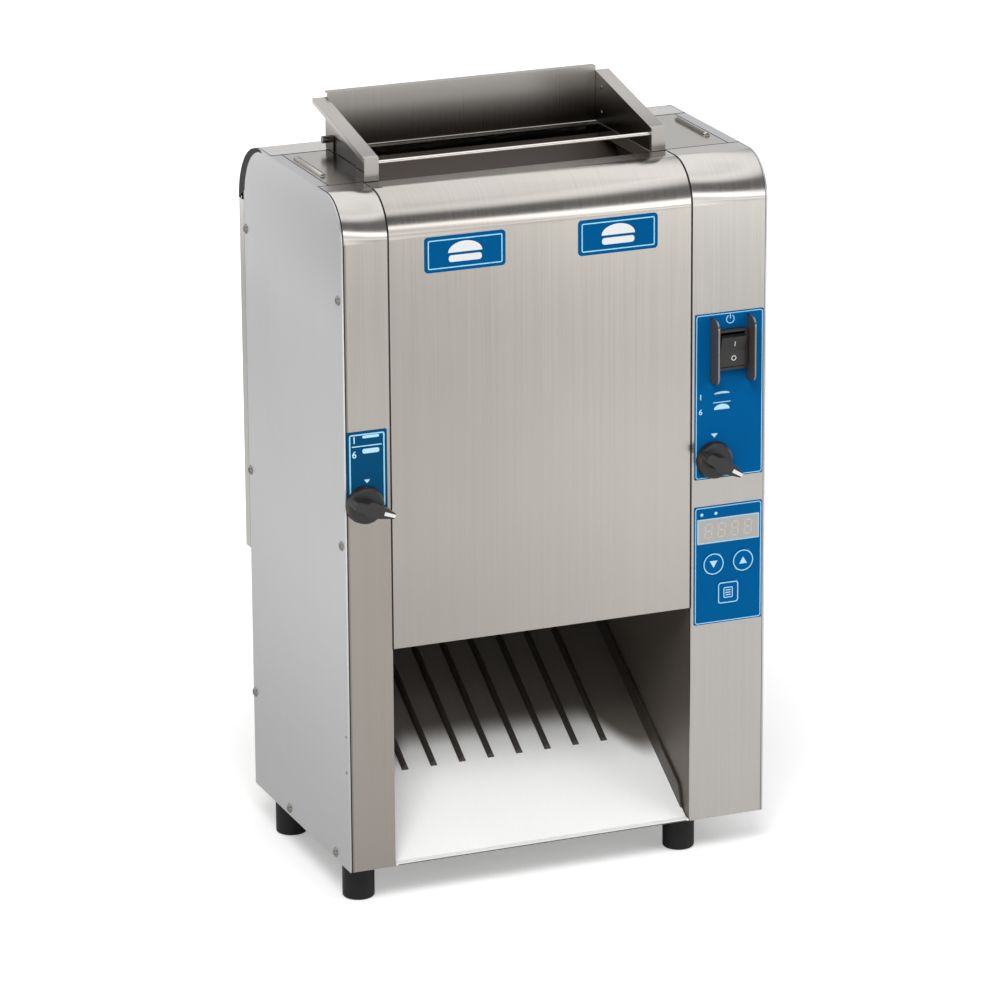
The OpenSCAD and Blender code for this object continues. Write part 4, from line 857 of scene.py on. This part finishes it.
def bead(shape, path, low_x, high_x):
    """A low strip between two x, along a path of (y, z, normal y, normal z)."""
    middle_x, half = (low_x + high_x) / 2, (high_x - low_x) / 2
    sweep_strip(shape, [[(middle_x + side * half, y + ny * lift, z + nz * lift) for side, lift in bead_section]
                        for y, z, ny, nz in path])


def bead_across(shape, low_x, high_x, y, z, wide):
    """A low strip on a level face, along x."""
    sweep_strip(shape, [[(x, y + side * wide / 2, z + lift) for side, lift in bead_section] for x in (low_x, high_x)])


housing_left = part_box("control_front")[0].x
mouth_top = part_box("front_cover")[0].z
bend_r = 34 * mm
bend_y, bend_z = column_low.y + bend_r, column_high.z - bend_r


def over_the_bend(low_z):
    """A path up the front from low_z, round the bend and back over the top."""
    path = [(column_low.y, low_z, -1, 0)]
    for c, s in map(around, range(0, 91, 6)):
        path.append((bend_y - bend_r * c, bend_z + bend_r * s, -c, s))
    return path + [(column_high.y - 3 * mm, column_high.z, 0, 1)]


gap_shade_lines = bmesh.new()
for joint_x, before, after, low_z in ((column_low.x, 0.7, 0.3, column_low.z), (column_high.x, 0.5, 0.6, mouth_top),
                                      (housing_left, 0.6, 0.5, mouth_top)):
    bead(gap_shade_lines, over_the_bend(low_z), joint_x - before * mm, joint_x + after * mm)
level_z, shift, side_half = column_high.z, 0.15 * mm, 0.4 * mm
for side, out in sides:
    low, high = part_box(f"top_plate_{side}")
    edge, throat = (low.x, high.x) if out < 0 else (high.x, low.x)
    joint_x = edge + out * shift
    bead(gap_shade_lines, [(low.y, level_z, 0, 1), (high.y, level_z, 0, 1)], joint_x - side_half, joint_x + side_half)
    ends = sorted((edge + out * 9.5 * mm, throat))
    bead_across(gap_shade_lines, *ends, low.y - shift, level_z, 1.0 * mm)
    bead_across(gap_shade_lines, *ends, high.y + shift, level_z, 1.5 * mm)
# The beads are painted shade: dark lines where the gaps between the sheets lie in shadow.
new_piece("seam_shade_lines", gap_shade_lines, "cabinet", "foot_rubber")

# %% [markdown]
# ## Edge of the chute
# The lower edge of the chute's lip lies in shade and draws a thin dark line under the white sheet. It could be a
# colour on the solid's own face, but the faces of a solid stay as they are, so a low bead of darker steel lies on
# that edge as a painted shade.

# %% Edge of the chute
low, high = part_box("chute")
end_gap = 1.5 * mm
edge_section = ((-0.05, 0.02), (0.10, 0.02), (0.16, 0.45), (0.10, 0.9), (-0.05, 0.9))
lip_shade = bmesh.new()
sweep_strip(lip_shade, [[(x, low.y - out * mm, low.z + up * mm) for out, up in edge_section]
                       for x in (low.x + end_gap, high.x - end_gap)])
# A painted shade: a dark strip on the lip's lower edge.
new_piece("chute_lip_shade", lip_shade, "chute", "steel_bright", inner_steel)

# %% [markdown]
# ## Hopper trim
# The sloping flanges of the hopper are hemmed: their outer edge is folded down, which stiffens the sheet and makes it
# look thick. Behind the notch in the left side sits a black plate that closes it as a painted shade. Both are short
# sweeps: the hem of a flat section along the slope, the plate of its own outline, with the last row drawn in for a
# soft edge.

# %% Hopper trim
hem_drop, hem_t = 4.6, 1.1
hem_section = ((0.1, 0.3), (0.1, hem_drop - 0.4), (-0.3, hem_drop), (-hem_t, hem_drop), (-hem_t, 0.3))
hem = bmesh.new()
for side, out in sides:
    low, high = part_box(f"hopper_{side}_side")
    front_top = max(v.co.z for v in nodes[f"hopper_{side}_side"].data.vertices if v.co.y < low.y + 0.01 * mm)
    start, stop = Vector((0, low.y, front_top)), Vector((0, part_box("hopper_back")[0].y + 1.5 * mm, high.z))
    down = (stop - start).cross(Vector((1, 0, 0))).normalized()
    down = down if down.z < 0 else -down
    edge = low.x if out < 0 else high.x
    sweep_strip(hem, [[(edge + out * x * mm, *(spot + down * drop * mm).yz) for x, drop in hem_section]
                      for spot in (start, stop)])
new_piece("hopper_hems", hem, "hopper", "steel_dark")

# A painted shade: the black plate makes the notch look dark inside.
side_low, side_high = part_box("hopper_left_side")
notch_shade_mid = (side_low.y / mm + 72, side_low.z / mm + 8.6)
notch_shade_long, notch_shade_tall, notch_shade_r = 56, 16.6, 2.4
notch_shade = bmesh.new()
sweep_strip(notch_shade, [[(side_high.x + x * mm, y * mm, z * mm)
                   for y, z in round_box(*notch_shade_mid, notch_shade_long - 2 * inset, notch_shade_tall - 2 * inset, notch_shade_r)]
                  for x, inset in ((-0.1, 0.0), (1.4, 0.0), (2.0, 0.6))])
new_piece("hopper_notch_shade", notch_shade, "hopper", "black_plastic")

# %% [markdown]
# ## Shade in the louvre mouths
# Each top plate has a pressed louvre whose mouth looks towards the hopper, so that warm air can leave. The solid only
# has the pressed ridge. A dark strip on the hopper's side of it paints the shade inside the open mouth: a piece of a
# tube, a little larger than the ridge and closed by the sweep helper.

# %% Shade in the louvre mouths
louvre_r, louvre_half = 2.5 * mm, 27 * mm
outer_r, inner_r = louvre_r + 0.15 * mm, louvre_r - 0.2 * mm
tube = [(outer_r * c, outer_r * s) for c, s in map(around, range(0, 81, 8))]
tube += [(inner_r * c, inner_r * s) for c, s in map(around, range(80, -1, -8))]
# Each strip paints the shade inside a louvre's open mouth.
for side, out in sides:
    low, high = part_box(f"top_plate_{side}")
    ridge = [v.co for v in nodes[f"top_plate_{side}"].data.vertices if v.co.z > high.z - sunk]
    x, y = (sum(c[i] for c in ridge) / len(ridge) for i in (0, 1))
    foot = high.z - louvre_r
    mouth = bmesh.new()
    sweep_strip(mouth, [[(x - out * across, end, foot + up) for across, up in tube]
                        for end in (y - louvre_half, y + louvre_half)])
    new_piece(f"{side}_louvre_mouth_shade", mouth, "cabinet", "steel", inner_steel)

# %% [markdown]
# ## Highlights on the guard's edges
# The guard's wings are stained dark, and their front edges show bright highlights. A thin rim of brighter steel on each
# edge paints those highlights: a flat strip that follows the top, the round corner, the front, and the other corner
# of the wing.

# %% Highlights on the guard's edges
guard_low, guard_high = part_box("switch_guard")
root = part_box("upper_overlay")[0].y
wing_r, wing_t, highlight_t, highlight_sunk = 7 * mm, 1.3 * mm, 0.35 * mm, 0.02 * mm
path = [(root, guard_high.z, 0, 1)]
for centre_z, start in ((guard_high.z - wing_r, 90), (guard_low.z + wing_r, 180)):
    for c, s in (around(start + 7.5 * i) for i in range(13)):
        path.append((guard_low.y + wing_r + wing_r * c, centre_z + wing_r * s, c, s))
path.append((root, guard_low.z, 0, -1))
# Each rim is a painted highlight: brighter steel on the wing's front edge.
for side, x in (("left", guard_low.x), ("right", guard_high.x - wing_t)):
    near_x, far_x = x - sunk, x + wing_t + sunk
    section = ((near_x, -highlight_sunk), (near_x, highlight_t), (far_x, highlight_t), (far_x, -highlight_sunk))
    rim = bmesh.new()
    sweep_strip(rim, [[(at, y + ny * lift, z + nz * lift) for at, lift in section] for y, z, ny, nz in path])
    new_piece(f"{side}_guard_highlight_rim", rim, "cabinet", "screws")

# %% [markdown]
# ## Screws
# Fourteen pan-head screws hold the side panels. A turned dome with a pressed cross is a small lathe job, so each
# head is built from rings of corners: the rings near the middle are sunk where the cross runs. The plain heads of
# the solid model give the places and the size.

# %% Screws
group_reach = 12 * mm
head_rows = ((0.22, 1.0), (0.40, 0.985), (0.52, 0.96), (0.64, 0.92), (0.78, 0.80), (0.90, 0.58), (0.98, 0.28),
             (1.0, 0.14), (1.16, 0.12), (1.16, 0.0))
cross_reach, arm, sink = 0.56, 0.13, 0.42
corners, first_turn, turn_step = 48, 0.4, 0.7


def screw_places(node):
    """Groups a node's corners that lie close together, and gives each group's box."""
    groups = []
    for corner in nodes[node].data.vertices:
        for group in groups:
            if (group[0] - corner.co).length < group_reach:
                group.append(corner.co)
                break
        else:
            groups.append([corner.co])
    return [[[f(c[i] for c in group) for i in range(3)] for f in (min, max)] for group in groups]


def screw_head(shape, seat, out, radius, tall, turn):
    """A domed head on a thin washer that stands on seat and looks along x, to the side that out gives."""
    tip = shape.verts.new(seat + Vector((out * tall * (1.0 - sink), 0, 0)))
    rims = []
    for share, lift in head_rows:
        rim = []
        for i in range(corners):
            a = 2 * math.pi * i / corners + turn
            u, v = share * math.cos(a - turn), share * math.sin(a - turn)
            crossed = share < cross_reach and (abs(u) < arm or abs(v) < arm)
            up = out * tall * (lift - (sink if crossed else 0))
            rim.append(shape.verts.new(seat + Vector((up, radius * share * math.cos(a), radius * share * math.sin(a)))))
        rims.append(rim)
    for i in range(corners):
        j = (i + 1) % corners
        shape.faces.new((tip, rims[0][i], rims[0][j]))
        for inner, outer in zip(rims, rims[1:]):
            shape.faces.new((inner[i], outer[i], outer[j], inner[j]))
    shape.faces.new(rims[-1])


heads = bmesh.new()
for number, (low, high) in enumerate(screw_places("panel_screws")):
    out = 1 if high[0] > 0 else -1
    foot = Vector((low[0] if out > 0 else high[0], (low[1] + high[1]) / 2, (low[2] + high[2]) / 2))
    screw_head(heads, foot, out, (high[1] - low[1]) / 2, high[0] - low[0], first_turn + turn_step * number)
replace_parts(new_piece("panel_screw_heads", heads, "cabinet", "screws", smooth=True), "panel_screws")

# %% [markdown]
# ## Rivets of the hopper
# Two small rivets on each hopper side hold the back sheet's tabs. Their heads are low domes, so the screw helper
# without its cross would do, but a dome is only a stack of rings, which the strip helper joins as it is.

# %% Rivets of the hopper
rivet_r, rivet_h, rivet_back = 1.7 * mm, 0.7 * mm, 12 * mm
rivet_rows = ((1.0, -0.1), (1.0, 0.25), (0.86, 0.62), (0.6, 0.88), (0.3, 0.98))
circle = [around(angle) for angle in range(0, 360, 15)]
rivets = bmesh.new()
back_low, back_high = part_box("hopper_back")
for x, out in ((back_low.x, 1), (back_high.x, -1)):
    for up in (9.3, 30.0):
        y, z = back_low.y - rivet_back, back_low.z + up * mm
        sweep_strip(rivets, [[(x + out * rivet_h * lift, y + rivet_r * share * c, z + rivet_r * share * s)
                              for c, s in circle] for share, lift in rivet_rows])
new_piece("hopper_rivets", rivets, "hopper", "screws", smooth=True)

# %% [markdown]
# ## Finish
# The last step compares the dressed box with the solid one and prints how much it grew, which makes it easy to see
# that print and screws have not made the toaster bigger.

# %% Finish
bpy.context.view_layer.update()
dressed_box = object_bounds()
growth = (dressed_box[1] - dressed_box[0]) - (cad_box[1] - cad_box[0])
print("box grew by", [round(v / mm, 2) for v in growth])
